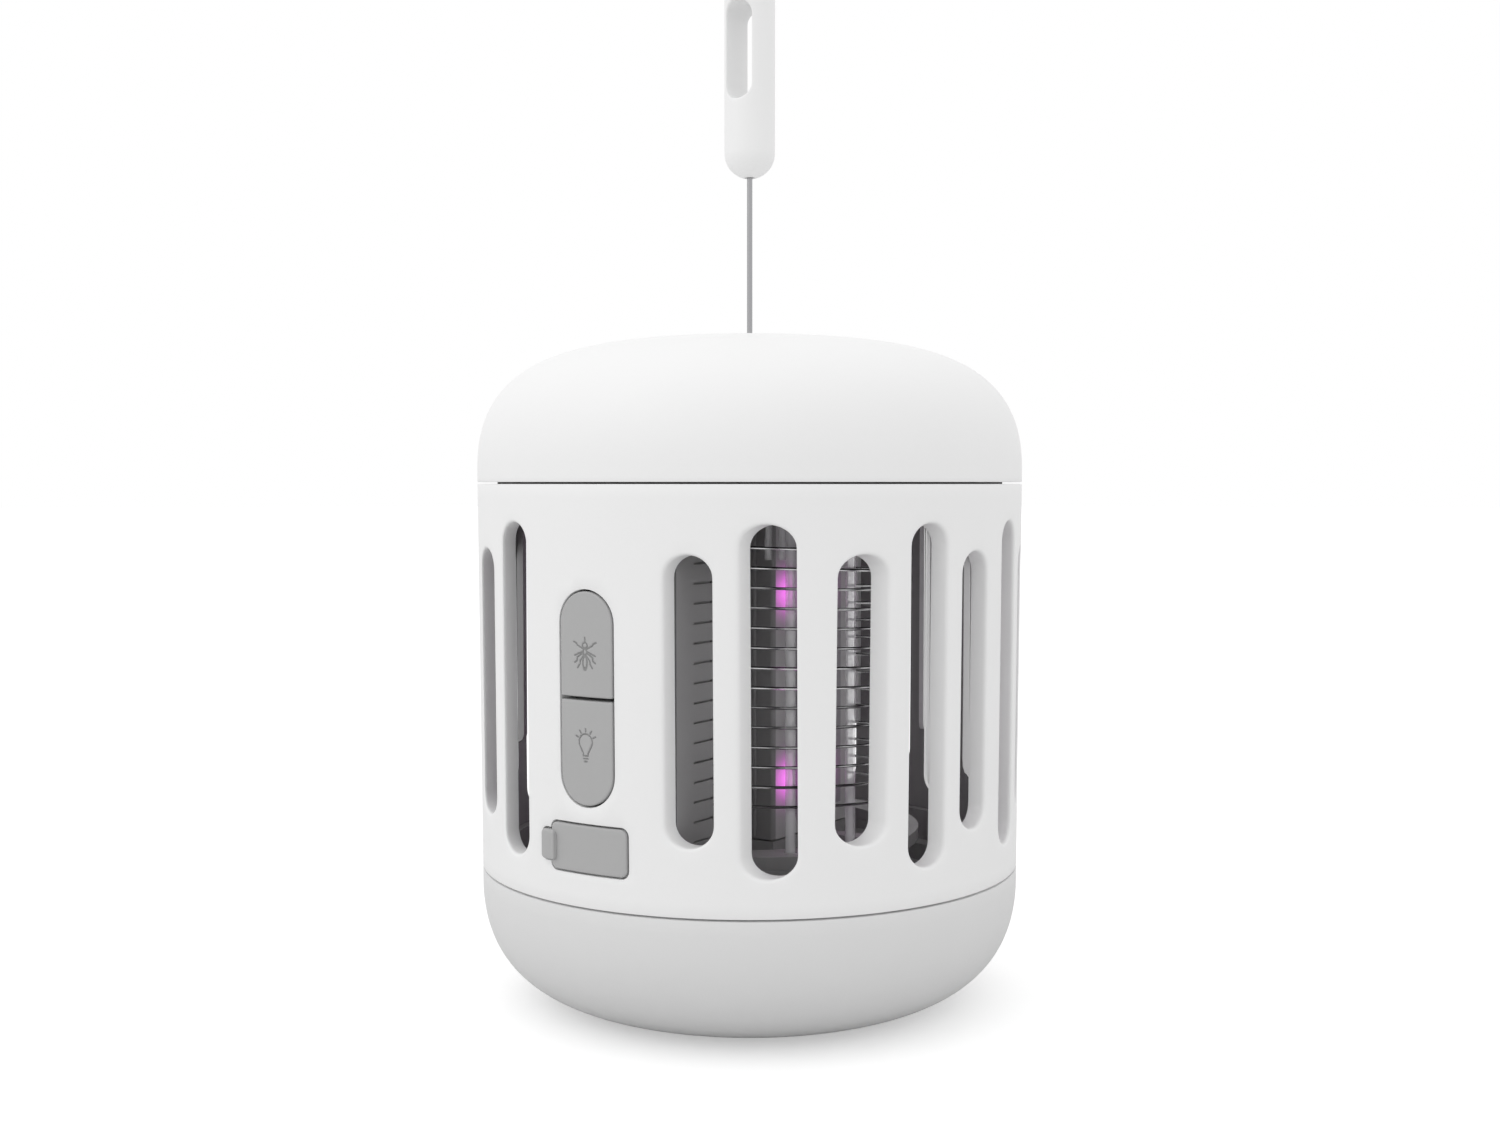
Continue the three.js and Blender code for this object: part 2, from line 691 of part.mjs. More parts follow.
function addHighVoltage() {
  const { width, depth, front, rise } = highBoard;
  const low = deckTop + rise;
  const high = low + boardThickness;
  add('high_voltage_board', 'circuit', block([-width / 2, front, low], [width / 2, front + depth, high]));
  const base = high + restGap;
  add('step_up_transformer', 'component', block([transformer.left, front + transformer.front, base],
    [transformer.right, front + transformer.back, base + transformer.height]));
  const [across, deep] = capacitor.place;
  add('storage_capacitor', 'component',
    bar(capacitor.radius, base, base + capacitor.height, [across, front + deep], 16));
}

function addBattery() {
  const cell = new THREE.CylinderGeometry(cellRadius, cellRadius, cellLength, 24);
  add('battery_cell', 'cell', cell.translate(0, 0, 0), [0, 0, cellCentre], [0, 0, 90]);
  const reach = cellLength / 2 + restGap;
  for (const [name, side] of [['battery_contact_left', -1], ['battery_contact_right', 1]]) {
    const [a, b] = [side * reach, side * (reach + 0.6)].sort((p, q) => p - q);
    add(name, 'steel', block([a, -4, postFoot], [b, 4, cellCentre + 3]));
  }
}

// ---------------------------------------------------------------- base

/** Half section of the bowl, solid, with its surface moved inwards by an amount. */
function bowlSolid(inset, rim) {
  const start = bowlHeight - bowlShoulder;
  const curve = new THREE.CubicBezierCurve(
    at(footRadius, 0), at(footRadius + bowlFullness.foot * (lowerSeamRadius - footRadius), 0),
    at(lowerSeamRadius, (1 - bowlFullness.side) * start), at(lowerSeamRadius, start),
  );
  return turned([at(0, inset), ...insetPoints(curve, inset, 7), at(lowerSeamRadius - inset, rim), at(0, rim)]);
}

/** Frosted bowl with an inner ledge that the tray's flange rests on. */
function diffuserBowl() {
  const rim = lowerSeam - seamGap / 2;
  const ledge = rim - ledgeBelowRim;
  const wallInside = lowerSeamRadius - bowlWall;
  const hoop = turned([
    at(wallInside - bowlLedgeWidth, ledge - 1.2), at(wallInside + bowlWall / 2, ledge - 1.2 - 2 * bowlLedgeWidth),
    at(wallInside + bowlWall / 2, ledge), at(wallInside - bowlLedgeWidth, ledge),
    at(wallInside - bowlLedgeWidth, ledge - 1.2),
  ]);
  return bowlSolid(0, rim).subtract(bowlSolid(bowlWall, rim + 1)).add(hoop.intersect(bowlSolid(bowlWall / 2, rim)));
}

/** Tray with a spigot into the casing, three bayonet lugs and a raised seat for the contact pads. */
function insectTray() {
  const throat = lowerSeamRadius - bowlWall - bowlLedgeWidth - restGap;
  const floor = trayFloor;
  const flange = lowerSeamRadius - bowlWall - restGap;
  const slope = traySlope;
  let tray = turned([
    at(0, floor), at(throat - slope, floor), at(throat, floor + slope), at(throat, flangeBottom),
    at(flange, flangeBottom), at(flange, flangeBottom + trayFlangeThickness),
    at(spigotRadius, flangeBottom + trayFlangeThickness), at(spigotRadius, trayTop),
    at(spigotRadius - trayWall, trayTop), at(spigotRadius - trayWall, flangeBottom + trayFlangeThickness / 2),
    at(throat - trayWall, flangeBottom), at(throat - trayWall, floor + slope + trayWall / 2),
    at(throat - slope - trayWall / 2, floor + trayWall), at(0, floor + trayWall),
  ]);
  const [low, high] = [lugCentre - lugThickness / 2, lugCentre + lugThickness / 2];
  for (const bearing of lugBearings) {
    const half = lugSpan / 2;
    const [inner, outer] = [spigotRadius - trayWall / 2, spigotRadius + lugProud];
    tray = tray.add(sector(inner, outer, bearing - half, bearing + half, low, high));
  }
  const [near, far] = padReach();
  return tray.add(sector(near - 1, far + 1, -2 * padSpan, 2 * padSpan, floor + trayWall / 2, padBottom() - restGap));
}

function padReach() {
  const middle = boardFront + pinRadius + restGap;
  return [middle - 1.4, middle + 1.4];
}

function padBottom() {
  return housingBottom - 2 * restGap - padThickness;
}

function addLampBoard() {
  const top = trayFloor - restGap;
  const bottom = top - lampBoardThickness;
  add('lamp_board', 'whiteBoard', bar(lampBoardRadius, bottom, top, [0, 0], bodySides));
  for (const [i, bearing] of lampLedBearings.entries()) {
    const led = new THREE.BoxGeometry(lampLedSize, lampLedSize, lampLedThickness);
    const level = bottom - restGap - lampLedThickness / 2;
    add(`lamp_led_${i + 1}`, 'lamp', led, [...onCircle(lampLedCircle, bearing), level], [0, 0, bearing]);
  }
}

function addContacts() {
  const [near, far] = padReach();
  const bearing = THREE.MathUtils.radToDeg(Math.asin(pinOffset / ((near + far) / 2)));
  for (const [name, side] of [['left', -1], ['right', 1]]) {
    const middle = side * bearing;
    const pad = sector(near, far, middle - padSpan / 2, middle + padSpan / 2, padBottom(), padBottom() + padThickness);
    add(`contact_pad_${name}`, 'brass', pad);
    const tip = padBottom() + padThickness + restGap;
    const place = [side * pinOffset, -(boardFront + pinRadius + restGap)];
    add(`contact_pin_${name}`, 'brass', bar(pinRadius, tip, tip + pinLength, place, 8));
  }
}

// ---------------------------------------------------------------- assembly

add('casing', 'shell', casing());
add('dome_cover', 'shell', domeCover());
add('battery_deck', 'darkPlastic', batteryDeck());
addBattery();
addHighVoltage();
for (const [i, bearing] of postBearings.entries()) {
  add(`dome_screw_${i + 1}`, 'steel', screw(deckBottom - restGap, postBoreDepth, onCircle(postCircle, bearing)));
}

add('control_housing', 'darkPlastic', controlHousing());
const boardFoot = housingBottom + housingWall + restGap;
add('main_board', 'circuit', block([-mainBoardWidth / 2, -boardFront, boardFoot],
  [mainBoardWidth / 2, -boardBack, housingTop - 2]));
add('zap_switch', 'component', tactSwitch(buttonCentre + buttonStack / 4));
add('lamp_switch', 'component', tactSwitch(buttonCentre - buttonStack / 4));
add('charging_socket', 'steel', chargingSocket());

add('grid_ring', 'darkPlastic', gridRing(ringBottom, ringTop));
add('grid_frame', 'darkPlastic', gridFrame());
add('live_coil', 'chrome', coil(lowerSeam + coilRise));
add('earth_coil', 'chrome', coil(lowerSeam + coilRise + wirePitch));
for (const [i, place] of rodPlaces().entries()) {
  add(`coil_rod_${i + 1}`, 'clear', bar(rodRadius, frameBottom, ringTop, place, 8));
}
add('led_column', 'darkPlastic', ledColumn());
addColumnLamps();
add('column_screw', 'steel', screw(frameBottom - restGap, postBoreDepth, [0, 0]));

add('zap_button', 'silicone', button(true));
add('lamp_button', 'silicone', button(false));
add('port_cover', 'silicone', portCover());

add('diffuser_bowl', 'frosted', diffuserBowl());
add('insect_tray', 'darkPlastic', insectTray());
addLampBoard();
addContacts();

add('hanger_bush', 'steel', ring(hangerBore, bushRadius, bossBottom, bossBottom + bushHeight, 24));
add('hanger_wire', 'steel', bar(hangerWireRadius, crimpBottom, eyeBottom + eyeSocketDepth - restGap));
add('hanger_crimp', 'brass', ring(hangerBore, crimpRadius, crimpBottom, crimpBottom + crimpHeight, smallSides));
add('hanger_eye', 'shell', hangerEye());

export default group;
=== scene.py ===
"""Portable electric bug zapper and camping lamp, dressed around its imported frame.

Each sub-assembly is a class that holds its sizes in millimetres, builds its meshes and gives them
their finishes. Bearings on the round body are measured from -Y towards +X, in degrees.
"""

import logging
import math
from dataclasses import dataclass, field
from enum import Enum
from typing import Callable, Optional, Sequence

import bmesh
import bpy
from mathutils import Matrix, Vector, kdtree
from mathutils.geometry import delaunay_2d_cdt

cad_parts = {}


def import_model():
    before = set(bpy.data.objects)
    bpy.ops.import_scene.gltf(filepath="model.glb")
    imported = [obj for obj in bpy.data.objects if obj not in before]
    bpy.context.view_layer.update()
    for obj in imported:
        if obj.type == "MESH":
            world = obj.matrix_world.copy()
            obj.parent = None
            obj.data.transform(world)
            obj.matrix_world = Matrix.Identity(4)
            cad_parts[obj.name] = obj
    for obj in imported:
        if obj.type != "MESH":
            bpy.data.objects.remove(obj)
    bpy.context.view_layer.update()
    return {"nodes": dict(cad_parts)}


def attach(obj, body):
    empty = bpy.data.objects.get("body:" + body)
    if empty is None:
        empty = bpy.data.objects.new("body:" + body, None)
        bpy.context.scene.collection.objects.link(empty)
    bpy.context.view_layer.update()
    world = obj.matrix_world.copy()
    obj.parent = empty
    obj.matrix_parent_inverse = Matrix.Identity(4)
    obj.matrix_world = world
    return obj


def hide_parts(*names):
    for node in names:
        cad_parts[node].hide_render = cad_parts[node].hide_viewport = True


MM = 0.001
LOG = logging.getLogger("bug_zapper")

Flat = tuple[float, float]
Colour = tuple[float, float, float]


# ---------------------------------------------------------------- outlines


def arc(centre: Flat, radius: float, start: float, end: float, steps: int) -> list[Flat]:
    """Points of a circular arc.

    Args:
        centre: Middle of the circle.
        radius: Radius of the circle.
        start: First angle in degrees, anticlockwise from the first axis.
        end: Last angle in degrees.
        steps: Number of chords.

    Returns:
        The points, both ends included.
    """
    turns = [math.radians(start + (end - start) * i / steps) for i in range(steps + 1)]
    return [(centre[0] + radius * math.cos(a), centre[1] + radius * math.sin(a)) for a in turns]


def divided(outline: Sequence[Flat], longest: float) -> list[Flat]:
    """Closed outline with points added on its long edges.

    Args:
        outline: Corners in order.
        longest: Longest edge that may stay.

    Returns:
        The outline with edges no longer than asked.
    """
    points: list[Flat] = []
    for a, b in zip(outline, [*outline[1:], outline[0]]):
        count = max(1, math.ceil(math.dist(a, b) / longest))
        points += [(a[0] + (b[0] - a[0]) * i / count, a[1] + (b[1] - a[1]) * i / count) for i in range(count)]
    return points


def capsule(width: float, height: float, centre: Flat, steps: int = 18, longest: float = 1.6) -> list[Flat]:
    """Upright outline with full-round ends, anticlockwise.

    Args:
        width: Width, which is twice the end radius.
        height: Overall height.
        centre: Middle of the outline.
        steps: Chords in each round end.
        longest: Longest edge on the straight sides.

    Returns:
        The outline's points.
    """
    radius = width / 2
    reach = height / 2 - radius
    low = arc((centre[0], centre[1] - reach), radius, 180, 360, steps)
    high = arc((centre[0], centre[1] + reach), radius, 0, 180, steps)
    return divided(low + high, longest)


def rounded(width: float, height: float, corner: float, centre: Flat, steps: int = 6,
            longest: float = 1.0) -> list[Flat]:
    """Rectangular outline with round corners, anticlockwise.

    Args:
        width: Width of the rectangle.
        height: Height of the rectangle.
        corner: Radius of the corners.
        centre: Middle of the rectangle.
        steps: Chords in each corner.
        longest: Longest edge on the straight sides.

    Returns:
        The outline's points.
    """
    w, h = width / 2 - corner, height / 2 - corner
    corners = [(-w, -h, 180), (w, -h, 270), (w, h, 0), (-w, h, 90)]
    points = [p for x, z, a in corners for p in arc((centre[0] + x, centre[1] + z), corner, a, a + 90, steps)]
    return divided(points, longest)


def normals_of(outline: Sequence[Flat]) -> list[Flat]:
    """Unit normals at the points of a closed anticlockwise outline, pointing out of it."""
    found: list[Flat] = []
    count = len(outline)
    for i in range(count):
        a, b = outline[i - 1], outline[(i + 1) % count]
        dx, dz = b[0] - a[0], b[1] - a[1]
        size = math.hypot(dx, dz) or 1.0
        found.append((dz / size, -dx / size))
    return found


def grown(outline: Sequence[Flat], amount: float) -> list[Flat]:
    """Outline moved outwards by an amount, or inwards by a negative one."""
    return [(p[0] + n[0] * amount, p[1] + n[1] * amount) for p, n in zip(outline, normals_of(outline))]


def holds(outline: Sequence[Flat], point: Flat) -> bool:
    """Whether a point lies inside a closed outline."""
    inside = False
    x, z = point
    for a, b in zip(outline, [*outline[1:], outline[0]]):
        if (a[1] > z) != (b[1] > z) and x < a[0] + (z - a[1]) * (b[0] - a[0]) / (b[1] - a[1]):
            inside = not inside
    return inside


def bezier(p0: Flat, p1: Flat, p2: Flat, p3: Flat, steps: int) -> list[tuple[Flat, Flat]]:
    """Points and unit tangents of a cubic curve.

    Args:
        p0: Start.
        p1: First handle.
        p2: Second handle.
        p3: End.
        steps: Number of chords.

    Returns:
        Pairs of point and tangent, both ends included.
    """
    found = []
    for i in range(steps + 1):
        t = i / steps
        s = 1 - t
        point = tuple(s**3 * a + 3 * s * s * t * b + 3 * s * t * t * c + t**3 * d
                      for a, b, c, d in zip(p0, p1, p2, p3))
        slope = [3 * s * s * (b - a) + 6 * s * t * (c - b) + 3 * t * t * (d - c)
                 for a, b, c, d in zip(p0, p1, p2, p3)]
        size = math.hypot(*slope) or 1.0
        found.append((point, (slope[0] / size, slope[1] / size)))
    return found


# ---------------------------------------------------------------- meshes


class Shape:
    """A mesh being put together in millimetres, with a finish number on each face."""

    def __init__(self) -> None:
        """Starts with no points."""
        self.points: list[Vector] = []
        self.faces: list[tuple[int, ...]] = []
        self.finishes: list[int] = []

    def ring(self, points: Sequence[Vector]) -> list[int]:
        """Adds points and returns their numbers."""
        first = len(self.points)
        self.points += [Vector(p) for p in points]
        return list(range(first, len(self.points)))

    def face(self, corners: Sequence[int], finish: int = 0) -> None:
        """Adds one face."""
        self.faces.append(tuple(corners))
        self.finishes.append(finish)

    def bridge(self, a: Sequence[int], b: Sequence[int], finish: int = 0, closed: bool = True) -> None:
        """Joins two rings of the same length with four-sided faces.

        Args:
            a: First ring.
            b: Second ring.
            finish: Finish number of the faces.
            closed: Whether the last points join the first ones.
        """
        count = len(a)
        for i in range(count if closed else count - 1):
            j = (i + 1) % count
            self.face((a[i], a[j], b[j], b[i]), finish)

    def sheet(self, border: Sequence[Flat], holes: Sequence[Sequence[Flat]], step: Flat,
              place: Callable[[float, float], Vector], finish: int = 0) -> None:
        """Fills a flat border, less its holes, and lays the result on a surface.

        Args:
            border: Closed outline of the sheet.
            holes: Closed outlines to leave open.
            step: Spacing of the inner points along both axes.
            place: Gives the place in space of a flat point.
            finish: Finish number of the faces.
        """
        loops = [list(border), *[list(h) for h in holes]]
        flat = [p for loop in loops for p in loop]
        edges, first = [], 0
        for loop in loops:
            edges += [(first + i, first + (i + 1) % len(loop)) for i in range(len(loop))]
            first += len(loop)
        tree = kdtree.KDTree(len(flat))
        for i, p in enumerate(flat):
            tree.insert((p[0], p[1], 0), i)
        tree.balance()
        boxes = [(min(p[0] for p in h), max(p[0] for p in h), min(p[1] for p in h), max(p[1] for p in h), h)
                 for h in loops[1:]]

        def kept(point: Flat) -> bool:
            """Whether a flat point is on the sheet."""
            if not holds(loops[0], point):
                return False
            return not any(x0 <= point[0] <= x1 and z0 <= point[1] <= z1 and holds(h, point)
                           for x0, x1, z0, z1, h in boxes)

        xs, zs = [p[0] for p in border], [p[1] for p in border]
        columns = max(1, round((max(xs) - min(xs)) / step[0]))
        rows = max(1, round((max(zs) - min(zs)) / step[1]))
        clear = min(step) * 0.55
        for i in range(1, columns):
            for j in range(1, rows):
                point = (min(xs) + (max(xs) - min(xs)) * i / columns,
                         min(zs) + (max(zs) - min(zs)) * j / rows)
                if tree.find((point[0], point[1], 0))[2] > clear and kept(point):
                    flat.append(point)
        found = delaunay_2d_cdt([Vector(p) for p in flat], edges, [], 0, 1e-7)
        numbers = self.ring([place(v[0], v[1]) for v in found[0]])
        for corners in found[2]:
            middle = (sum(found[0][c][0] for c in corners) / 3, sum(found[0][c][1] for c in corners) / 3)
            if kept(middle):
                self.face([numbers[c] for c in corners], finish)

    def turned(self, profile: Sequence[Flat], sides: int, finish: int = 0,
               middle: Flat = (0.0, 0.0)) -> None:
        """Adds a solid of revolution about an upright axis.

        Args:
            profile: Radius and height pairs, from axis to axis or closed on itself.
            sides: Number of sides.
            finish: Finish number of the faces.
            middle: Where the axis stands.
        """
        turns = [2 * math.pi * i / sides for i in range(sides)]
        rings: list[list[int]] = []
        for r, z in profile:
            if r < 1e-6:
                rings.append(self.ring([Vector((middle[0], middle[1], z))]) * sides)
            else:
                rings.append(self.ring([Vector((middle[0] + r * math.sin(a), middle[1] - r * math.cos(a), z))
                                        for a in turns]))
        for a, b in zip(rings, rings[1:]):
            for i in range(sides):
                j = (i + 1) % sides
                corners = list(dict.fromkeys((a[i], a[j], b[j], b[i])))
                if len(corners) > 2:
                    self.face(corners, finish)

    def block(self, low: Sequence[float], high: Sequence[float], finish: int = 0) -> None:
        """Adds a box between two corners, as part of a larger shape."""
        xs, ys, zs = ((low[i], high[i]) for i in range(3))
        n = self.ring([Vector((x, y, z)) for z in zs for y in ys for x in xs])
        for corners in ((0, 2, 3, 1), (4, 5, 7, 6), (0, 1, 5, 4), (2, 6, 7, 3), (0, 4, 6, 2), (1, 3, 7, 5)):
            self.face([n[c] for c in corners], finish)

    def built(self, name: str, materials: Sequence[bpy.types.Material],
              crease: float = 35.0) -> bpy.types.Object:
        """Makes the finished object.

        Args:
            name: Name of the piece.
            materials: Materials in the order of the finish numbers.
            crease: Angle in degrees above which an edge stays sharp.

        Returns:
            The object, at the origin, with its place in its mesh.
        """
        mesh = bpy.data.meshes.new(name)
        mesh.from_pydata([p * MM for p in self.points], [], self.faces)
        for material in materials:
            mesh.materials.append(material)
        mesh.polygons.foreach_set("material_index", self.finishes)
        work = bmesh.new()
        work.from_mesh(mesh)
        bmesh.ops.remove_doubles(work, verts=work.verts, dist=2e-7)
        bmesh.ops.dissolve_degenerate(work, edges=work.edges, dist=1e-8)
        bmesh.ops.recalc_face_normals(work, faces=work.faces)
        work.to_mesh(mesh)
        work.free()
        mesh.shade_smooth()
        mesh.set_sharp_from_angle(angle=math.radians(crease))
        piece = bpy.data.objects.new(name, mesh)
        bpy.context.scene.collection.objects.link(piece)
        return piece


# ---------------------------------------------------------------- node work


class Nodes:
    """Short ways to fill a node tree."""

    def __init__(self, tree: bpy.types.NodeTree) -> None:
        """Takes the tree to fill."""
        self.tree = tree

    def add(self, kind: str, inputs: Optional[dict] = None, **settings: object) -> bpy.types.Node:
        """Adds a node.

        Args:
            kind: Blender's name for the type of node.
            inputs: Values or output sockets for named or numbered inputs.
            **settings: Properties of the node itself.

        Returns:
            The node.
        """
        node = self.tree.nodes.new(kind)
        for name, value in settings.items():
            setattr(node, name, value)
        for key, value in (inputs or {}).items():
            self.feed(node.inputs[key], value)
        return node

    def feed(self, socket: bpy.types.NodeSocket, value: object) -> None:
        """Links an output to a socket, or sets the socket's own value."""
        if isinstance(value, bpy.types.NodeSocket):
            self.tree.links.new(value, socket)
        else:
            socket.default_value = value

    def sum(self, operation: str, a: object, b: object = 0.0, c: object = 0.0) -> bpy.types.NodeSocket:
        """Arithmetic of up to three numbers."""
        return self.add("ShaderNodeMath", {0: a, 1: b, 2: c}, operation=operation).outputs[0]


def group_tree(name: str, kind: str, inputs: dict[str, tuple[str, object]],
               outputs: dict[str, str]) -> tuple[Nodes, bpy.types.Node, bpy.types.Node]:
    """Starts a node group with named sockets.

    Args:
        name: Name of the group.
        kind: Type of tree.
        inputs: Socket type and starting value of each input.
        outputs: Socket type of each output.

    Returns:
        The filler, the group's input node and its output node.
    """
    tree = bpy.data.node_groups.new(name, kind)
    for label, (socket, value) in inputs.items():
        made = tree.interface.new_socket(label, in_out="INPUT", socket_type=socket)
        if value is not None:
            made.default_value = value
    for label, socket in outputs.items():
        tree.interface.new_socket(label, in_out="OUTPUT", socket_type=socket)
    nodes = Nodes(tree)
    return nodes, nodes.add("NodeGroupInput"), nodes.add("NodeGroupOutput")


def grown_by_nodes(name: str, tree: bpy.types.NodeTree, values: dict[str, object],
                   points: Sequence[Vector] = ()) -> bpy.types.Object:
    """Runs a geometry tree and keeps its result as a plain mesh.

    Args:
        name: Name of the piece.
        tree: Geometry tree to run.
        values: Values for the tree's named inputs, in metres.
        points: Points, in millimetres, that the tree starts from.

    Returns:
        The finished piece, with no modifier left on it.
    """
    mesh = bpy.data.meshes.new(name)
    mesh.from_pydata([p * MM for p in points], [], [])
    piece = bpy.data.objects.new(name, mesh)
    bpy.context.scene.collection.objects.link(piece)
    modifier = piece.modifiers.new("maker", "NODES")
    modifier.node_group = tree
    sockets = {item.name: item.identifier for item in tree.interface.items_tree if item.in_out == "INPUT"}
    for label, value in values.items():
        modifier[sockets[label]] = value
    bpy.context.view_layer.update()
    depsgraph = bpy.context.evaluated_depsgraph_get()
    result = bpy.data.meshes.new_from_object(piece.evaluated_get(depsgraph))
    piece.modifiers.remove(modifier)
    piece.data = result
    result.name = name
    return piece


# ---------------------------------------------------------------- shared surface effects


class Effects:
    """Shader groups that several finishes share; each is built once."""

    @staticmethod
    def grain() -> bpy.types.NodeTree:
        """Fine moulded or brushed grain with a slow mottle under it."""
        found = bpy.data.node_groups.get("surface_grain")
        if found:
            return found
        nodes, given, out = group_tree("surface_grain", "ShaderNodeTree", {
            "Scale": ("NodeSocketFloat", 2000.0), "Mottle": ("NodeSocketFloat", 0.1),
            "Stretch": ("NodeSocketVector", (1.0, 1.0, 1.0))},
            {"Shade": "NodeSocketFloat", "Height": "NodeSocketFloat", "Gloss": "NodeSocketFloat"})
        place = nodes.add("ShaderNodeTexCoord").outputs["Object"]
        pulled = nodes.add("ShaderNodeVectorMath", {0: place, 1: given.outputs["Stretch"]},
                           operation="MULTIPLY").outputs[0]
        fine = nodes.add("ShaderNodeTexNoise", {"Vector": pulled, "Scale": given.outputs["Scale"],
                                                "Detail": 3.0, "Roughness": 0.6})
        slow = nodes.add("ShaderNodeTexNoise", {"Vector": pulled, "Scale": 90.0, "Detail": 4.0,
                                                "Roughness": 0.55})
        both = nodes.sum("MULTIPLY_ADD", slow.outputs[0], 0.7, nodes.sum("MULTIPLY", fine.outputs[0], 0.3))
        nodes.feed(out.inputs["Shade"], nodes.sum("MULTIPLY", both, given.outputs["Mottle"]))
        nodes.feed(out.inputs["Height"], fine.outputs[0])
        nodes.feed(out.inputs["Gloss"], nodes.sum("SUBTRACT", slow.outputs[0], 0.5))
        return nodes.tree

    @staticmethod
    def dust() -> bpy.types.NodeTree:
        """Thin dust that settles on faces that look up."""
        found = bpy.data.node_groups.get("settled_dust")
        if found:
            return found
        nodes, given, out = group_tree("settled_dust", "ShaderNodeTree",
                                       {"Amount": ("NodeSocketFloat", 0.3)}, {"Cover": "NodeSocketFloat"})
        place = nodes.add("ShaderNodeTexCoord").outputs["Object"]
        up = nodes.add("ShaderNodeSeparateXYZ", {0: nodes.add("ShaderNodeNewGeometry").outputs["Normal"]})
        facing = nodes.add("ShaderNodeMapRange", {"Value": up.outputs["Z"], "From Min": 0.2, "From Max": 1.0})
        specks = nodes.add("ShaderNodeTexNoise", {"Vector": place, "Scale": 700.0, "Detail": 6.0})
        cover = nodes.sum("MULTIPLY", facing.outputs[0], specks.outputs[0])
        nodes.feed(out.inputs["Cover"], nodes.sum("MULTIPLY", cover, given.outputs["Amount"]))
        return nodes.tree

    @staticmethod
    def lamp_glow() -> bpy.types.NodeTree:
        """Painted lamp light: the glow, as emission, that two rows of lamps would throw on the faces beside
        them.
        """
        found = bpy.data.node_groups.get("lamp_glow")
        if found:
            return found
        nodes, given, out = group_tree("lamp_glow", "ShaderNodeTree", {
            "Lower": ("NodeSocketFloat", 0.0375), "Upper": ("NodeSocketFloat", 0.0675),
            "Spread": ("NodeSocketFloat", 0.004), "Reach": ("NodeSocketFloat", 0.0062)},
            {"Glow": "NodeSocketFloat"})
        place = nodes.add("ShaderNodeTexCoord").outputs["Object"]
        apart = nodes.add("ShaderNodeSeparateXYZ", {0: place})
        height = apart.outputs["Z"]
        across = nodes.sum("DIVIDE", nodes.sum("ADD", apart.outputs["Y"], 0.004), given.outputs["Reach"])
        fading = nodes.sum("EXPONENT", nodes.sum("MULTIPLY", nodes.sum("POWER", across, 2.0), -1.0))
        looks = nodes.add("ShaderNodeSeparateXYZ", {0: nodes.add("ShaderNodeNewGeometry").outputs["Normal"]})
        sideways = nodes.sum("POWER", looks.outputs["X"], 2.0)
        parts = []
        for level in ("Lower", "Upper"):
            above = nodes.sum("SUBTRACT", height, given.outputs[level])
            away = nodes.sum("DIVIDE", above, given.outputs["Spread"])
            squared = nodes.sum("MULTIPLY", away, away)
            parts.append(nodes.sum("EXPONENT", nodes.sum("MULTIPLY", squared, -1.0)))
        rows = nodes.sum("MULTIPLY", nodes.sum("ADD", *parts), fading)
        nodes.feed(out.inputs["Glow"], nodes.sum("MULTIPLY", rows, sideways))
        return nodes.tree


DUST_COLOUR = (0.5, 0.49, 0.47)


def surface(name: str) -> tuple[Nodes, bpy.types.Node, bpy.types.Material]:
    """Starts a material and returns its filler, its shader and itself."""
    material = bpy.data.materials.new(name)
    material.use_nodes = True
    material.node_tree.nodes.clear()
    nodes = Nodes(material.node_tree)
    shader = nodes.add("ShaderNodeBsdfPrincipled")
    nodes.add("ShaderNodeOutputMaterial", {"Surface": shader.outputs[0]})
    return nodes, shader, material


def opaque(colour: Colour) -> tuple[float, float, float, float]:
    """The colour with full cover."""
    return (*colour, 1.0)


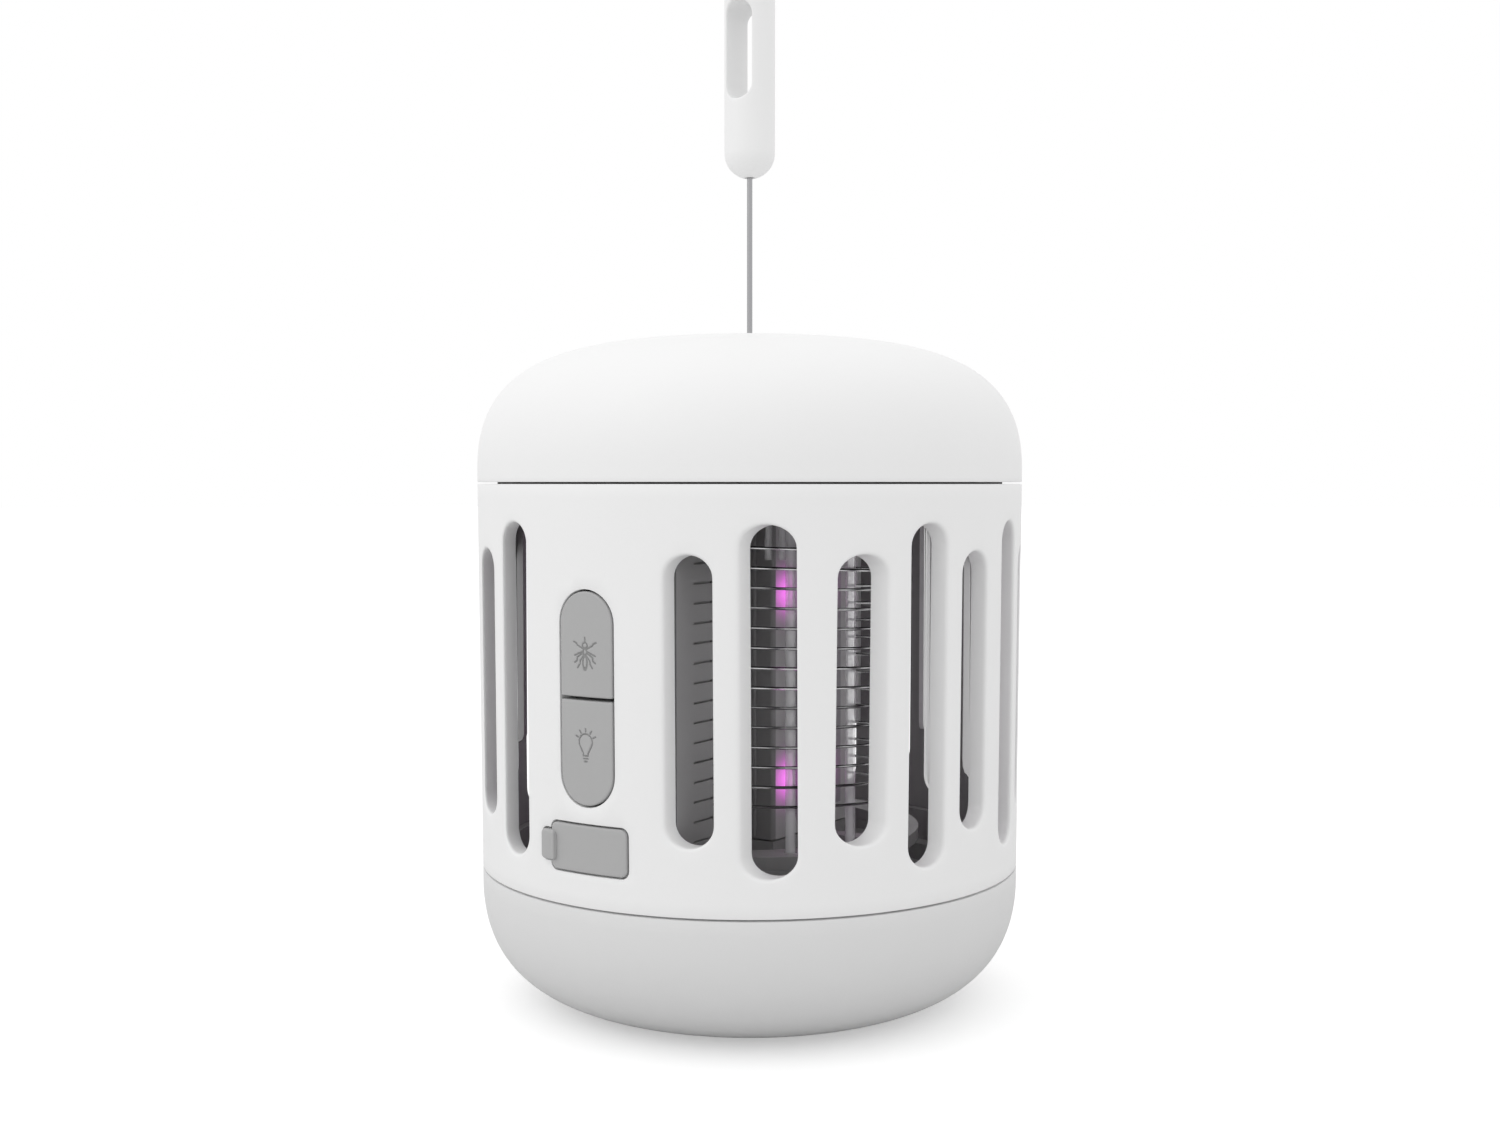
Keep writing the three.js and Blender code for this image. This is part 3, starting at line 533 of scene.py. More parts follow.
@dataclass(frozen=True)
class Plastic:
    """A moulded plastic or rubber: base colour, mottle, grain, the dust on it and any painted lamp light."""

    name: str
    base: Colour
    shade: Colour
    roughness: float
    grain: float = 2200.0
    relief: float = 0.08
    mottle: float = 0.6
    dust: float = 0.0
    coat: float = 0.0
    specular: float = 0.5
    glow: Optional[Colour] = None
    spread: float = 0.005
    stretch: Colour = (1.0, 1.0, 1.0)

    def material(self) -> bpy.types.Material:
        """Builds the material."""
        nodes, shader, material = surface(self.name)
        grain = nodes.add("ShaderNodeGroup", node_tree=Effects.grain())
        grain.inputs["Scale"].default_value = self.grain
        grain.inputs["Mottle"].default_value = self.mottle
        grain.inputs["Stretch"].default_value = self.stretch
        colour = nodes.add("ShaderNodeMix", {0: grain.outputs["Shade"], 6: opaque(self.base),
                                             7: opaque(self.shade)}, data_type="RGBA").outputs[2]
        if self.dust:
            cover = nodes.add("ShaderNodeGroup", node_tree=Effects.dust())
            cover.inputs["Amount"].default_value = self.dust
            colour = nodes.add("ShaderNodeMix", {0: cover.outputs[0], 6: colour, 7: opaque(DUST_COLOUR)},
                               data_type="RGBA").outputs[2]
        nodes.feed(shader.inputs["Base Color"], colour)
        nodes.feed(shader.inputs["Roughness"],
                   nodes.sum("MULTIPLY_ADD", grain.outputs["Gloss"], 0.12, self.roughness))
        bump = nodes.add("ShaderNodeBump", {"Height": grain.outputs["Height"], "Strength": self.relief,
                                            "Distance": 0.0001})
        nodes.feed(shader.inputs["Normal"], bump.outputs[0])
        shader.inputs["Specular IOR Level"].default_value = self.specular
        shader.inputs["Coat Weight"].default_value = self.coat
        shader.inputs["Coat Roughness"].default_value = 0.25
        # Painted lamp light, as emission.
        if self.glow:
            lit = nodes.add("ShaderNodeGroup", node_tree=Effects.lamp_glow())
            lit.inputs["Spread"].default_value = self.spread
            nodes.feed(shader.inputs["Emission Color"], nodes.add(
                "ShaderNodeMix", {0: lit.outputs[0], 6: opaque((0, 0, 0)), 7: opaque(self.glow)},
                data_type="RGBA").outputs[2])
            shader.inputs["Emission Strength"].default_value = 1.0
        return material


@dataclass(frozen=True)
class Metal:
    """A drawn, plated or brushed metal, with painted shade that darkens its upper side where asked."""

    name: str
    base: Colour
    shade: Colour
    roughness: float
    grain: float = 1500.0
    relief: float = 0.05
    stretch: Colour = (1.0, 1.0, 0.05)
    painted_top_shade: float = 0.0

    def material(self) -> bpy.types.Material:
        """Builds the material."""
        nodes, shader, material = surface(self.name)
        grain = nodes.add("ShaderNodeGroup", node_tree=Effects.grain())
        grain.inputs["Scale"].default_value = self.grain
        grain.inputs["Mottle"].default_value = 0.8
        grain.inputs["Stretch"].default_value = self.stretch
        colour = nodes.add("ShaderNodeMix", {0: grain.outputs["Shade"], 6: opaque(self.base),
                                             7: opaque(self.shade)}, data_type="RGBA").outputs[2]
        # Painted shade: faces that look up are darkened towards near black.
        if self.painted_top_shade:
            up = nodes.add("ShaderNodeSeparateXYZ", {0: nodes.add("ShaderNodeNewGeometry").outputs["Normal"]})
            facing = nodes.add("ShaderNodeMapRange", {"Value": up.outputs["Z"], "From Min": -0.25,
                                                      "From Max": 0.45, "To Max": self.painted_top_shade})
            colour = nodes.add("ShaderNodeMix", {0: facing.outputs[0], 6: colour,
                                                 7: opaque((0.03, 0.03, 0.03))}, data_type="RGBA").outputs[2]
        nodes.feed(shader.inputs["Base Color"], colour)
        nodes.feed(shader.inputs["Roughness"],
                   nodes.sum("MULTIPLY_ADD", grain.outputs["Gloss"], 0.15, self.roughness))
        bump = nodes.add("ShaderNodeBump", {"Height": grain.outputs["Height"], "Strength": self.relief,
                                            "Distance": 0.0001})
        nodes.feed(shader.inputs["Normal"], bump.outputs[0])
        shader.inputs["Metallic"].default_value = 1.0
        return material


@dataclass(frozen=True)
class Acrylic:
    """Clear polished plastic with faint drawing lines."""

    name: str
    tint: Colour
    roughness: float
    transmission: float

    def material(self) -> bpy.types.Material:
        """Builds the material."""
        nodes, shader, material = surface(self.name)
        grain = nodes.add("ShaderNodeGroup", node_tree=Effects.grain())
        grain.inputs["Scale"].default_value = 900.0
        grain.inputs["Mottle"].default_value = 0.1
        grain.inputs["Stretch"].default_value = (1.0, 1.0, 0.02)
        nodes.feed(shader.inputs["Base Color"], nodes.add(
            "ShaderNodeMix", {0: grain.outputs["Shade"], 6: opaque(self.tint), 7: opaque((0.7, 0.7, 0.72))},
            data_type="RGBA").outputs[2])
        bump = nodes.add("ShaderNodeBump", {"Height": grain.outputs["Height"], "Strength": 0.04,
                                            "Distance": 0.0001})
        nodes.feed(shader.inputs["Normal"], bump.outputs[0])
        nodes.feed(shader.inputs["Roughness"],
                   nodes.sum("MULTIPLY_ADD", grain.outputs["Gloss"], 0.02, self.roughness))
        shader.inputs["IOR"].default_value = 1.49
        shader.inputs["Transmission Weight"].default_value = self.transmission
        return material


@dataclass(frozen=True)
class LitChip:
    """A lamp chip: a pale square of phosphor under a lens, lit or unlit."""

    name: str
    base: Colour
    light: Colour
    strength: float

    def material(self) -> bpy.types.Material:
        """Builds the material."""
        nodes, shader, material = surface(self.name)
        grain = nodes.add("ShaderNodeGroup", node_tree=Effects.grain())
        grain.inputs["Scale"].default_value = 3000.0
        nodes.feed(shader.inputs["Base Color"], nodes.add(
            "ShaderNodeMix", {0: grain.outputs["Shade"], 6: opaque(self.base), 7: opaque(self.light)},
            data_type="RGBA").outputs[2])
        nodes.feed(shader.inputs["Emission Color"], nodes.add(
            "ShaderNodeMix", {0: grain.outputs["Shade"], 6: opaque(self.light), 7: opaque(self.base)},
            data_type="RGBA").outputs[2])
        shader.inputs["Emission Strength"].default_value = self.strength
        shader.inputs["Roughness"].default_value = 0.25
        return material


MAGENTA: Colour = (1.0, 0.10, 1.0)


class Finish(Enum):
    """The finishes of this lamp."""

    SHELL = Plastic("satin_white_shell", (0.86, 0.86, 0.86), (0.82, 0.82, 0.82), 0.5, mottle=0.4, relief=0.1)
    # Painted shade: this darker copy of the shell plastic on the casing's inside, its ledge and its left ribs
    # stands in for the shade inside the body; the dust on it is real dust.
    INSIDE = Plastic("inner_wall_painted_shade_and_dust", (0.33, 0.325, 0.33), (0.27, 0.265, 0.27), 0.6, relief=0.2, dust=0.2)
    FROSTED = Plastic("frosted_bowl", (0.725, 0.725, 0.725), (0.68, 0.68, 0.68), 0.42, mottle=0.5,
                      relief=0.12)
    SILICONE = Plastic("grey_silicone", (0.42, 0.42, 0.42), (0.39, 0.39, 0.39), 0.62, relief=0.12)
    # ENGRAVED colours the pictogram's grooves darker than the silicone: painted shade in the grooves.
    ENGRAVED = Plastic("groove_painted_shade", (0.27, 0.27, 0.27), (0.24, 0.24, 0.24), 0.7)
    DARK = Plastic("dark_moulding", (0.32, 0.315, 0.32), (0.26, 0.255, 0.26), 0.5, relief=0.2, dust=0.25)
    # COLUMN and COLUMN_SIDE are darker and lighter copies of one plastic: the sides' lighter colour and their
    # pink glow are painted lamp light.
    COLUMN = Plastic("lamp_column", (0.31, 0.305, 0.31), (0.20, 0.195, 0.20), 0.38, relief=0.15,
                     stretch=(1.0, 1.0, 0.06), grain=900.0, mottle=0.9)
    COLUMN_SIDE = Plastic("lamp_column_side_painted_light", (0.50, 0.49, 0.50), (0.41, 0.40, 0.41), 0.5, relief=0.15,
                          mottle=0.9, glow=(1.7, 0.22, 1.6), spread=0.0030)
    # The plated wire's faces that look up carry painted shade, darkened to near black.
    CHROME = Metal("plated_wire", (0.80, 0.80, 0.81), (0.62, 0.62, 0.63), 0.18, painted_top_shade=0.97)
    ROD = Acrylic("clear_rod", (0.98, 0.98, 0.99), 0.04, 1.0)
    STEEL = Metal("drawn_steel", (0.45, 0.45, 0.46), (0.32, 0.32, 0.33), 0.32)
    BRASS = Metal("contact_brass", (0.72, 0.52, 0.20), (0.55, 0.38, 0.14), 0.35)
    CIRCUIT = Plastic("green_solder_mask", (0.03, 0.14, 0.07), (0.02, 0.10, 0.05), 0.35, coat=0.3, mottle=1.0)
    # The boards' pink glow is painted lamp light.
    BOARD = Plastic("white_solder_mask", (0.30, 0.28, 0.31), (0.25, 0.23, 0.26), 0.4, coat=0.2,
                    glow=(0.6, 0.07, 0.57), spread=0.0033)
    LAMP_BOARD = Plastic("lamp_board_mask", (0.72, 0.71, 0.74), (0.64, 0.63, 0.66), 0.4, coat=0.2)
    COMPONENT = Plastic("black_component", (0.03, 0.03, 0.032), (0.05, 0.05, 0.052), 0.45)
    CELL = Plastic("cell_sleeve", (0.04, 0.15, 0.38), (0.03, 0.12, 0.30), 0.35, coat=0.3)
    UV_CHIP = LitChip("lit_ultraviolet_chip", (1.0, 0.75, 1.0), MAGENTA, 0.8)
    LAMP_CHIP = LitChip("unlit_lamp_chip", (0.90, 0.80, 0.45), (0.85, 0.72, 0.35), 0.02)

    def material(self) -> bpy.types.Material:
        """The finish's material, made the first time it is asked for."""
        return bpy.data.materials.get(self.value.name) or self.value.material()


def dress(node: bpy.types.Object, finish: Finish) -> None:
    """Gives a frame node the finish in all its material slots."""
    if not node.material_slots:
        node.data.materials.append(finish.material())
    for place in node.material_slots:
        place.material = finish.material()


def settle(piece: bpy.types.Object, body: str, slot: str, *stands_for: str) -> bpy.types.Object:
    """Makes a finished piece ride and replace its frame nodes.

    Args:
        piece: The finished piece.
        body: Body it moves with.
        slot: Material slot of the record; not used.
        *stands_for: Frame nodes that it replaces.

    Returns:
        The piece.
    """
    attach(piece, body)
    if stands_for:
        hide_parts(*stands_for)
    LOG.info("%s: %d faces, rides on %s", piece.name, len(piece.data.polygons), body)
    return piece


# ---------------------------------------------------------------- round bodies


@dataclass(frozen=True)
class RoundForm:
    """Upright round wall whose radius changes evenly from its foot to its head."""

    foot: float
    head: float
    foot_radius: float
    head_radius: float

    def radius(self, z: float) -> float:
        """Outside radius at a height."""
        share = (z - self.foot) / (self.head - self.foot)
        return self.foot_radius + share * (self.head_radius - self.foot_radius)

    def at(self, bearing: float, z: float, offset: float = 0.0) -> Vector:
        """Point on the wall, or off it by an amount, at a bearing and height."""
        a, r = math.radians(bearing), self.radius(z) + offset
        return Vector((r * math.sin(a), -r * math.cos(a), z))

    def bearing(self, side: float, t: float, z: float, offset: float = 0.0) -> float:
        """Bearing at which a plane at lateral distance t from a side's middle meets the wall."""
        return side + math.degrees(math.asin(t / (self.radius(z) + offset)))

    def facing(self, side: float, t: float, z: float, offset: float = 0.0, sunk: float = 0.0) -> Vector:
        """Point met by going straight in from a side, then sunk further in.

        Args:
            side: Bearing of the side.
            t: Lateral distance from the side's middle.
            z: Height.
            offset: How far outside the wall the met surface lies.
            sunk: Extra distance inwards along the side's direction.

        Returns:
            The point.
        """
        reach = math.sqrt((self.radius(z) + offset) ** 2 - t * t) - sunk
        a = math.radians(side)
        return Vector((t * math.cos(a) + reach * math.sin(a), t * math.sin(a) - reach * math.cos(a), z))

    def soft_edge(self, shape: Shape, side: float, outline: Sequence[Flat], reach: float, depth: float,
                  steps: int = 4, mirrored: bool = False) -> list[int]:
        """Rounded edge of an opening, from its inner wall out to the surface.

        Args:
            shape: Shape to add it to.
            side: Side that the opening is pulled from.
            outline: The opening's outline.
            reach: Width of the rounding on the surface.
            depth: Depth of the rounding in the wall.
            steps: Rows of faces.
            mirrored: Whether the outline's lateral distances are turned round.

        Returns:
            The ring where the straight wall starts.
        """
        turn = -1.0 if mirrored else 1.0
        rings = []
        for i in range(steps + 1):
            s = i / steps
            ring = []
            for (t, z), (b, h) in zip(outline, grown(outline, reach)):
                start, edge = self.facing(side, turn * t, z, sunk=depth), self.facing(side, turn * t, z)
                end = self.facing(side, turn * b, h)
                ring.append((1 - s) ** 2 * start + 2 * s * (1 - s) * edge + s * s * end)
            rings.append(shape.ring(ring))
        for a, b in zip(rings, rings[1:]):
            shape.bridge(a, b)
        return rings[0]


BODY = RoundForm(22.2, 85.0, 44.5, 45.0)
SEAM_GAP = 0.3
RIM_SHARE = 0.3
CURVE_STEPS = 44
ROUND_SIDES = 128


@dataclass
class Casing:
    """Slotted casing with the panel openings and the recess of the port cover."""

    form: RoundForm = BODY
    wall: float = 2.8
    slot_offsets: tuple[float, ...] = (-26.0, -15.95, -5.95, 5.95, 15.95, 26.0)
    slot_width: float = 6.6
    long_slot: float = 50.9
    short_slot: float = 42.2
    panel_half_width: float = 12.0
    edge_reach: float = 0.55
    edge_depth: float = 0.8
    button_opening: Flat = (10.0, 32.2)
    button_centre: float = 53.4
    recess_depth: float = 1.3
    port_opening: Flat = (8.6, 3.8)
    port_centre: float = 31.1
    rim: float = 0.14
    rib_foot: float = 39.8
    rib_depths: Flat = (1.05, 0.45)
    left_rib_depth: float = 1.35
    rib_width: float = 0.9
    ledge: tuple[float, float, float] = (39.96, 80.2, 81.2)
    fine_reach: float = 0.12
    button_edge: float = 0.2
    recess_edge: float = 0.15
    outer_step: Flat = (1.5, 1.9)
    inner_step: Flat = (2.4, 2.4)
    recess_step: Flat = (0.9, 0.9)
    border_step: float = 1.6
    arc_length: float = field(init=False, default=0.78)

    def slots(self) -> list[tuple[float, list[Flat]]]:
        """Side and outline of each insect slot."""
        middle = (self.form.foot + self.form.head) / 2
        found = []
        for side in (0.0, 90.0, 180.0, -90.0):
            for i, offset in enumerate(self.slot_offsets):
                if side == 0.0 and abs(offset) < self.panel_half_width:
                    continue
                height = self.long_slot if i % 2 else self.short_slot
                found.append((side, capsule(self.slot_width, height, (offset, middle))))
        return found

    def recess(self) -> list[Flat]:
        """Outline of the recess under the port cover and its tab."""
        z, corner = self.port_centre, 1.3
        half_w, half_h, tab_end, tab_half, tab_corner = 7.2, 3.8, -9.15, 2.5, 1.0
        steps = 5
        points = arc((-half_w + corner, z - half_h + corner), corner, 180, 270, steps)
        points += arc((half_w - corner, z - half_h + corner), corner, 270, 360, steps)
        points += arc((half_w - corner, z + half_h - corner), corner, 0, 90, steps)
        points += arc((-half_w + corner, z + half_h - corner), corner, 90, 180, steps)
        points += arc((tab_end + tab_corner, z + tab_half - tab_corner), tab_corner, 90, 180, steps)
        points += arc((tab_end + tab_corner, z - tab_half + tab_corner), tab_corner, 180, 270, steps)
        return divided(list(dict.fromkeys(points)), 0.7)

    def unrolled(self, side: float, outline: Sequence[Flat], offset: float = 0.0) -> list[Flat]:
        """Outline of an opening on the wall laid out flat."""
        return [(self.form.bearing(side, t, z, offset) * self.arc_length, z) for t, z in outline]

    def laid(self, offset: float) -> Callable[[float, float], Vector]:
        """Gives the place on the wall of a point of the flat layout."""
        return lambda u, z: self.form.at(u / self.arc_length, z, offset)

    def build(self) -> bpy.types.Object:
        """Builds the casing and settles it."""
        shape = Shape()
        foot, head = self.form.foot + SEAM_GAP / 2, self.form.head - SEAM_GAP / 2
        left, right = -135 * self.arc_length, 225 * self.arc_length
        buttons = capsule(*self.button_opening, (0, self.button_centre), longest=1.0)
        port = rounded(*self.port_opening, 1.0, (0, self.port_centre), longest=0.7)
        recess = self.recess()
        slots = self.slots()

        outer_holes, inner_holes = [], []
        for side, outline in slots:
            wall = self.form.soft_edge(shape, side, outline, self.edge_reach, self.edge_depth)
            inner = shape.ring([self.form.facing(side, t, z, -self.wall) for t, z in outline])
            shape.bridge(wall, inner)
            outer_holes.append(self.unrolled(side, grown(outline, self.edge_reach)))
            inner_holes.append(self.unrolled(side, outline, -self.wall))
        for outline, depth, offset in ((buttons, self.button_edge, -self.wall),
                                       (recess, self.recess_edge, -self.recess_depth)):
            wall = self.form.soft_edge(shape, 0, outline, self.fine_reach, depth, steps=2)
            shape.bridge(wall, shape.ring([self.form.facing(0, t, z, offset) for t, z in outline]))
            outer_holes.append(self.unrolled(0, grown(outline, self.fine_reach)))
        inner_holes.append(self.unrolled(0, buttons, -self.wall))
        inner_holes.append(self.unrolled(0, port, -self.wall))
        shape.bridge(shape.ring([self.form.facing(0, t, z, -self.recess_depth) for t, z in port]),
                     shape.ring([self.form.facing(0, t, z, -self.wall) for t, z in port]))
        shape.sheet(recess, [port], self.recess_step,
                    lambda t, z: self.form.facing(0, t, z, -self.recess_depth))

        def panel(low: float, high: float) -> list[Flat]:
            """Border of the wall laid out flat."""
            return divided([(left, low), (right, low), (right, high), (left, high)], self.border_step)

        shape.sheet(panel(foot + self.rim, head - self.rim), outer_holes, self.outer_step, self.laid(0.0))
        # The inside takes the darker inner finish, painted shade.
        shape.sheet(panel(foot, head), inner_holes, self.inner_step, self.laid(-self.wall), 1)
        turns = [p[0] / self.arc_length for p in panel(foot, head) if abs(p[1] - foot) < 1e-9]
        for level, step in ((foot, self.rim), (head, -self.rim)):
            rings = [shape.ring([self.form.at(a, level + step, 0.0) for a in turns]),
                     shape.ring([self.form.at(a, level + step * RIM_SHARE, -self.rim * RIM_SHARE)
                                 for a in turns]),
                     shape.ring([self.form.at(a, level, -self.rim) for a in turns]),
                     shape.ring([self.form.at(a, level, -self.wall) for a in turns])]
            for a, b in zip(rings, rings[1:]):
                shape.bridge(a, b, closed=False)
        self.add_ribs(shape)
        # The ledge takes the darker inner finish too, painted shade.
        inner, low, high = self.ledge
        outer = self.form.radius(low) - self.wall + 0.2
        shape.turned([(inner, low), (outer, low - 0.6), (outer, high), (inner, high), (inner, low)], 96, 1)
        piece = shape.built("slotted_casing", [Finish.SHELL.material(), Finish.INSIDE.material()])
        return settle(piece, "root", "shell", "casing")

    def add_ribs(self, shape: Shape) -> None:
        """Adds the slim stiffening ribs behind the slots of three sides."""
        head = self.ledge[1]
        # Ribs on the left side take the darker inner finish, painted shade; the others stay shell white.
        for side, finish in ((90.0, 0), (180.0, 0), (-90.0, 1)):
            a = math.radians(side)
            turn = Matrix(((math.cos(a), -math.sin(a), 0), (math.sin(a), math.cos(a), 0), (0, 0, 1)))
            for offset in self.slot_offsets[1:-1]:
                sign = math.copysign(1.0, offset)
                edge = offset - sign * self.slot_width / 2
                near, far = sorted((edge, edge - sign * self.rib_width))
                outermost = abs(offset) > self.panel_half_width
                depth = self.left_rib_depth if finish else self.rib_depths[outermost]
                inside = self.form.radius(self.rib_foot) - self.wall
                reach = math.sqrt(inside ** 2 - max(abs(near), abs(far)) ** 2)
                rows = [(self.rib_foot, 0.0), (self.rib_foot + 0.5, 0.7), (self.rib_foot + 1.4, 1.0),
                        (head, 1.0)]
                rings = []
                for z, share in rows:
                    inner = reach + 0.04 - share * depth
                    corners = [(near, -reach - 0.06), (far, -reach - 0.06), (far, -inner), (near, -inner)]
                    rings.append(shape.ring([turn @ Vector((x, y, z)) for x, y in corners]))
                shape.face(rings[0], finish)
                for low, high in zip(rings, rings[1:]):
                    shape.bridge(low, high, finish)
                shape.face(rings[-1], finish)


@dataclass
class Dome:
    """Closed dome over the head, with the hanger's boss and three screw posts inside."""

    radius: float = 45.0
    foot: float = 85.15
    shoulder: float = 87.55
    top: float = 108.9
    wall: float = 2.4
    rim: float = 0.14
    bore: float = 0.75
    bush_bore: tuple[float, float] = (2.5, 106.4)
    boss: tuple[float, float] = (4.0, 103.6)
    post: tuple[float, float, float] = (1.6, 2.8, 83.3)
    post_circle: float = 35.0
    post_bearings: tuple[float, ...] = (60.0, 180.0, 300.0)
    flank_pull: float = 0.972
    crown_pull: float = 0.529
    lip: float = 0.35

    def build(self) -> bpy.types.Object:
        """Builds the dome and settles it."""
        rise = self.top - self.shoulder
        curve = bezier((self.radius, self.shoulder), (self.radius, self.shoulder + self.flank_pull * rise),
                       (self.crown_pull * self.radius, self.top), (0.0, self.top), CURVE_STEPS)
        inner = [(p[0] - d[1] * self.wall, p[1] + d[0] * self.wall) for p, d in curve]
        outer = [p for p, _ in curve if p[0] > self.bore + 2 * self.lip]
        profile = [(self.radius - self.wall, self.foot), (self.radius - self.rim, self.foot),
                   (self.radius - self.rim * RIM_SHARE, self.foot + self.rim * RIM_SHARE),
                   (self.radius, self.foot + self.rim)]
        profile += [(self.radius, self.foot + 0.8), *outer, (self.bore + self.lip, self.top),
                    (self.bore + 0.1, self.top - 0.1), (self.bore, self.top - self.lip)]
        profile += [(self.bore, self.bush_bore[1]), (self.bush_bore[0], self.bush_bore[1]),
                    (self.bush_bore[0], self.boss[1]), (self.boss[0], self.boss[1])]
        within = [p for p in reversed(inner) if p[0] > self.boss[0]]
        profile += [(self.boss[0], within[0][1]), *within, profile[0]]
        shape = Shape()
        shape.turned(profile, ROUND_SIDES)
        inside, outside, level = self.post
        for bearing in self.post_bearings:
            a = math.radians(bearing)
            under = min(inner, key=lambda p: abs(p[0] - self.post_circle - outside))[1] + 0.6
            shape.turned([(inside, level), (outside, level), (outside, under), (0.0, under), (0.0, under - 2),
                          (inside, under - 2), (inside, level)], 24,
                         middle=(self.post_circle * math.sin(a), -self.post_circle * math.cos(a)))
        return settle(shape.built("dome", [Finish.SHELL.material()]), "root", "shell", "dome_cover")


@dataclass
class Bowl:
    """Frosted bowl of the lamp, with the ledge that carries the tray."""

    radius: float = 44.5
    foot_radius: float = 24.75
    shoulder: float = 19.8
    rim_level: float = 22.05
    wall: float = 2.4
    rim: float = 0.14
    ledge: tuple[float, float, float] = (40.6, 17.8, 19.0)
    foot_pull: float = 0.286
    flank_pull: float = 0.141

    def build(self) -> bpy.types.Object:
        """Builds the bowl and settles it."""
        swell = self.radius - self.foot_radius
        curve = bezier((self.foot_radius, 0.0), (self.foot_radius + self.foot_pull * swell, 0.0),
                       (self.radius, self.flank_pull * self.shoulder), (self.radius, self.shoulder),
                       CURVE_STEPS)
        inner = [(p[0] - d[1] * self.wall, p[1] + d[0] * self.wall) for p, d in curve]
        profile = [(0.0, 0.0), *[p for p, _ in curve], (self.radius, self.rim_level - self.rim),
                   (self.radius - self.rim * RIM_SHARE, self.rim_level - self.rim * RIM_SHARE),
                   (self.radius - self.rim, self.rim_level), (self.radius - self.wall, self.rim_level)]
        reach, low, high = self.ledge
        profile += [(self.radius - self.wall, high), (reach, high), (reach, low)]
        profile += [p for p in reversed(inner) if p[1] < low - 1.5] + [(0.0, self.wall)]
        shape = Shape()
        shape.turned(profile, ROUND_SIDES)
        piece = shape.built("lamp_bowl", [Finish.FROSTED.material()])
        return settle(piece, "base", "frosted", "diffuser_bowl")


# ---------------------------------------------------------------- panel


class Pictogram(Enum):
    """What is engraved on a button."""

    INSECT = "insect"
    LAMP = "lamp"

    def line(self, x: float, z: float) -> float:
        """Distance in millimetres from a point to the middle of the nearest engraved line."""
        return insect_line(abs(x), z) if self is Pictogram.INSECT else lamp_line(abs(x), z)


def to_stroke(x: float, z: float, a: Flat, b: Flat) -> float:
    """Distance from a point to a straight stroke."""
    dx, dz = b[0] - a[0], b[1] - a[1]
    share = max(0.0, min(1.0, ((x - a[0]) * dx + (z - a[1]) * dz) / (dx * dx + dz * dz)))
    return math.hypot(x - a[0] - share * dx, z - a[1] - share * dz)


def to_oval(x: float, z: float, middle: float, across: float, up: float) -> float:
    """Rough distance from a point to the outline of an oval on the middle line."""
    share = math.hypot(x / across, (z - middle) / up)
    return abs(share - 1) * min(across, up)


LEGS: tuple[tuple[Flat, ...], ...] = (
    ((0.30, 0.62), (1.34, 1.13), (1.55, 1.43), (2.04, 1.63)),
    ((0.42, 0.25), (1.87, -0.36)),
    ((0.42, 0.00), (1.40, -0.60), (1.45, -1.10), (1.87, -1.40)),
    ((0.28, -0.40), (0.88, -1.10), (0.92, -1.55), (1.34, -2.15)),
)


def insect_line(x: float, z: float) -> float:
    """Distance to the lines of a mosquito seen from above, on its right half."""
    head, chest, tail = (1.15, 0.42, 0.42), (0.2, 0.30, 0.52), (-1.35, 0.38, 0.98)
    found = [to_oval(x, z, *oval) for oval in (head, chest, tail)]
    found.append(to_stroke(x, z, (0.0, 1.6), (0.0, 2.3)))
    found += [to_stroke(x, z, a, b) for leg in LEGS for a, b in zip(leg, leg[1:])]
    return min(found)


def lamp_line(x: float, z: float) -> float:
    """Distance to the lines of a lamp bulb with its rays, on its right half."""
    middle, radius, neck, foot = 0.72, 1.2, 0.44, -1.3
    opening, rays, ray_start, ray_end, far_off = -0.5, (90.0, 57.0, 26.0), 1.52, 1.98, 9.0
    around = math.atan2(z - middle, x)
    bulb = abs(math.hypot(x, z - middle) - radius) if around > opening else far_off
    tangent = (radius * math.cos(opening), middle + radius * math.sin(opening))
    collar, upper, lower = foot + 0.35, foot - 0.42, foot - 0.84
    strokes = ((tangent, (neck, collar)), ((neck, collar), (neck, foot)), ((0.0, foot), (neck, foot)),
               ((0.0, upper), (0.38, upper)), ((0.0, lower), (0.22, lower)))
    found = [bulb, *(to_stroke(x, z, start, end) for start, end in strokes)]
    for angle in rays:
        a = math.radians(angle)
        found.append(to_stroke(x, z, (ray_start * math.cos(a), middle + ray_start * math.sin(a)),
                               (ray_end * math.cos(a), middle + ray_end * math.sin(a))))
    return min(found)


EDGE_STEPS = 5


def plate(shape: Shape, form: RoundForm, outline: Sequence[Flat], proud: float, back: float, edge: float,
          step: float, relief: Optional[Callable[[float, float], float]] = None) -> None:
    """Adds a plate that follows the body's front, with a rounded front edge.

    Args:
        shape: Shape to add it to.
        form: Body that it follows.
        outline: Outline in lateral distance and height.
        proud: How far the front stands out of the body.
        back: Offset of the back face, below the body's surface.
        edge: Radius of the front edge.
        step: Spacing of the front face's points.
        relief: Extra offset of the front face at a place.
    """
    rings = [shape.ring([form.facing(0, t, z, back) for t, z in outline])]
    for i in range(EDGE_STEPS + 1):
        turn = math.radians(90 * i / EDGE_STEPS)
        inset, offset = edge * (1 - math.cos(turn)), proud - edge * (1 - math.sin(turn))
        rings.append(shape.ring([form.facing(0, t, z, offset) for t, z in grown(outline, -inset)]))
    for a, b in zip(rings, rings[1:]):
        shape.bridge(a, b)
    lift = relief or (lambda t, z: 0.0)
    shape.sheet(grown(outline, -edge), [], (step, step),
                lambda t, z: form.facing(0, t, z, proud + lift(t, z)))
    shape.sheet(outline, [], (2.0, 2.0), lambda t, z: form.facing(0, t, z, back))


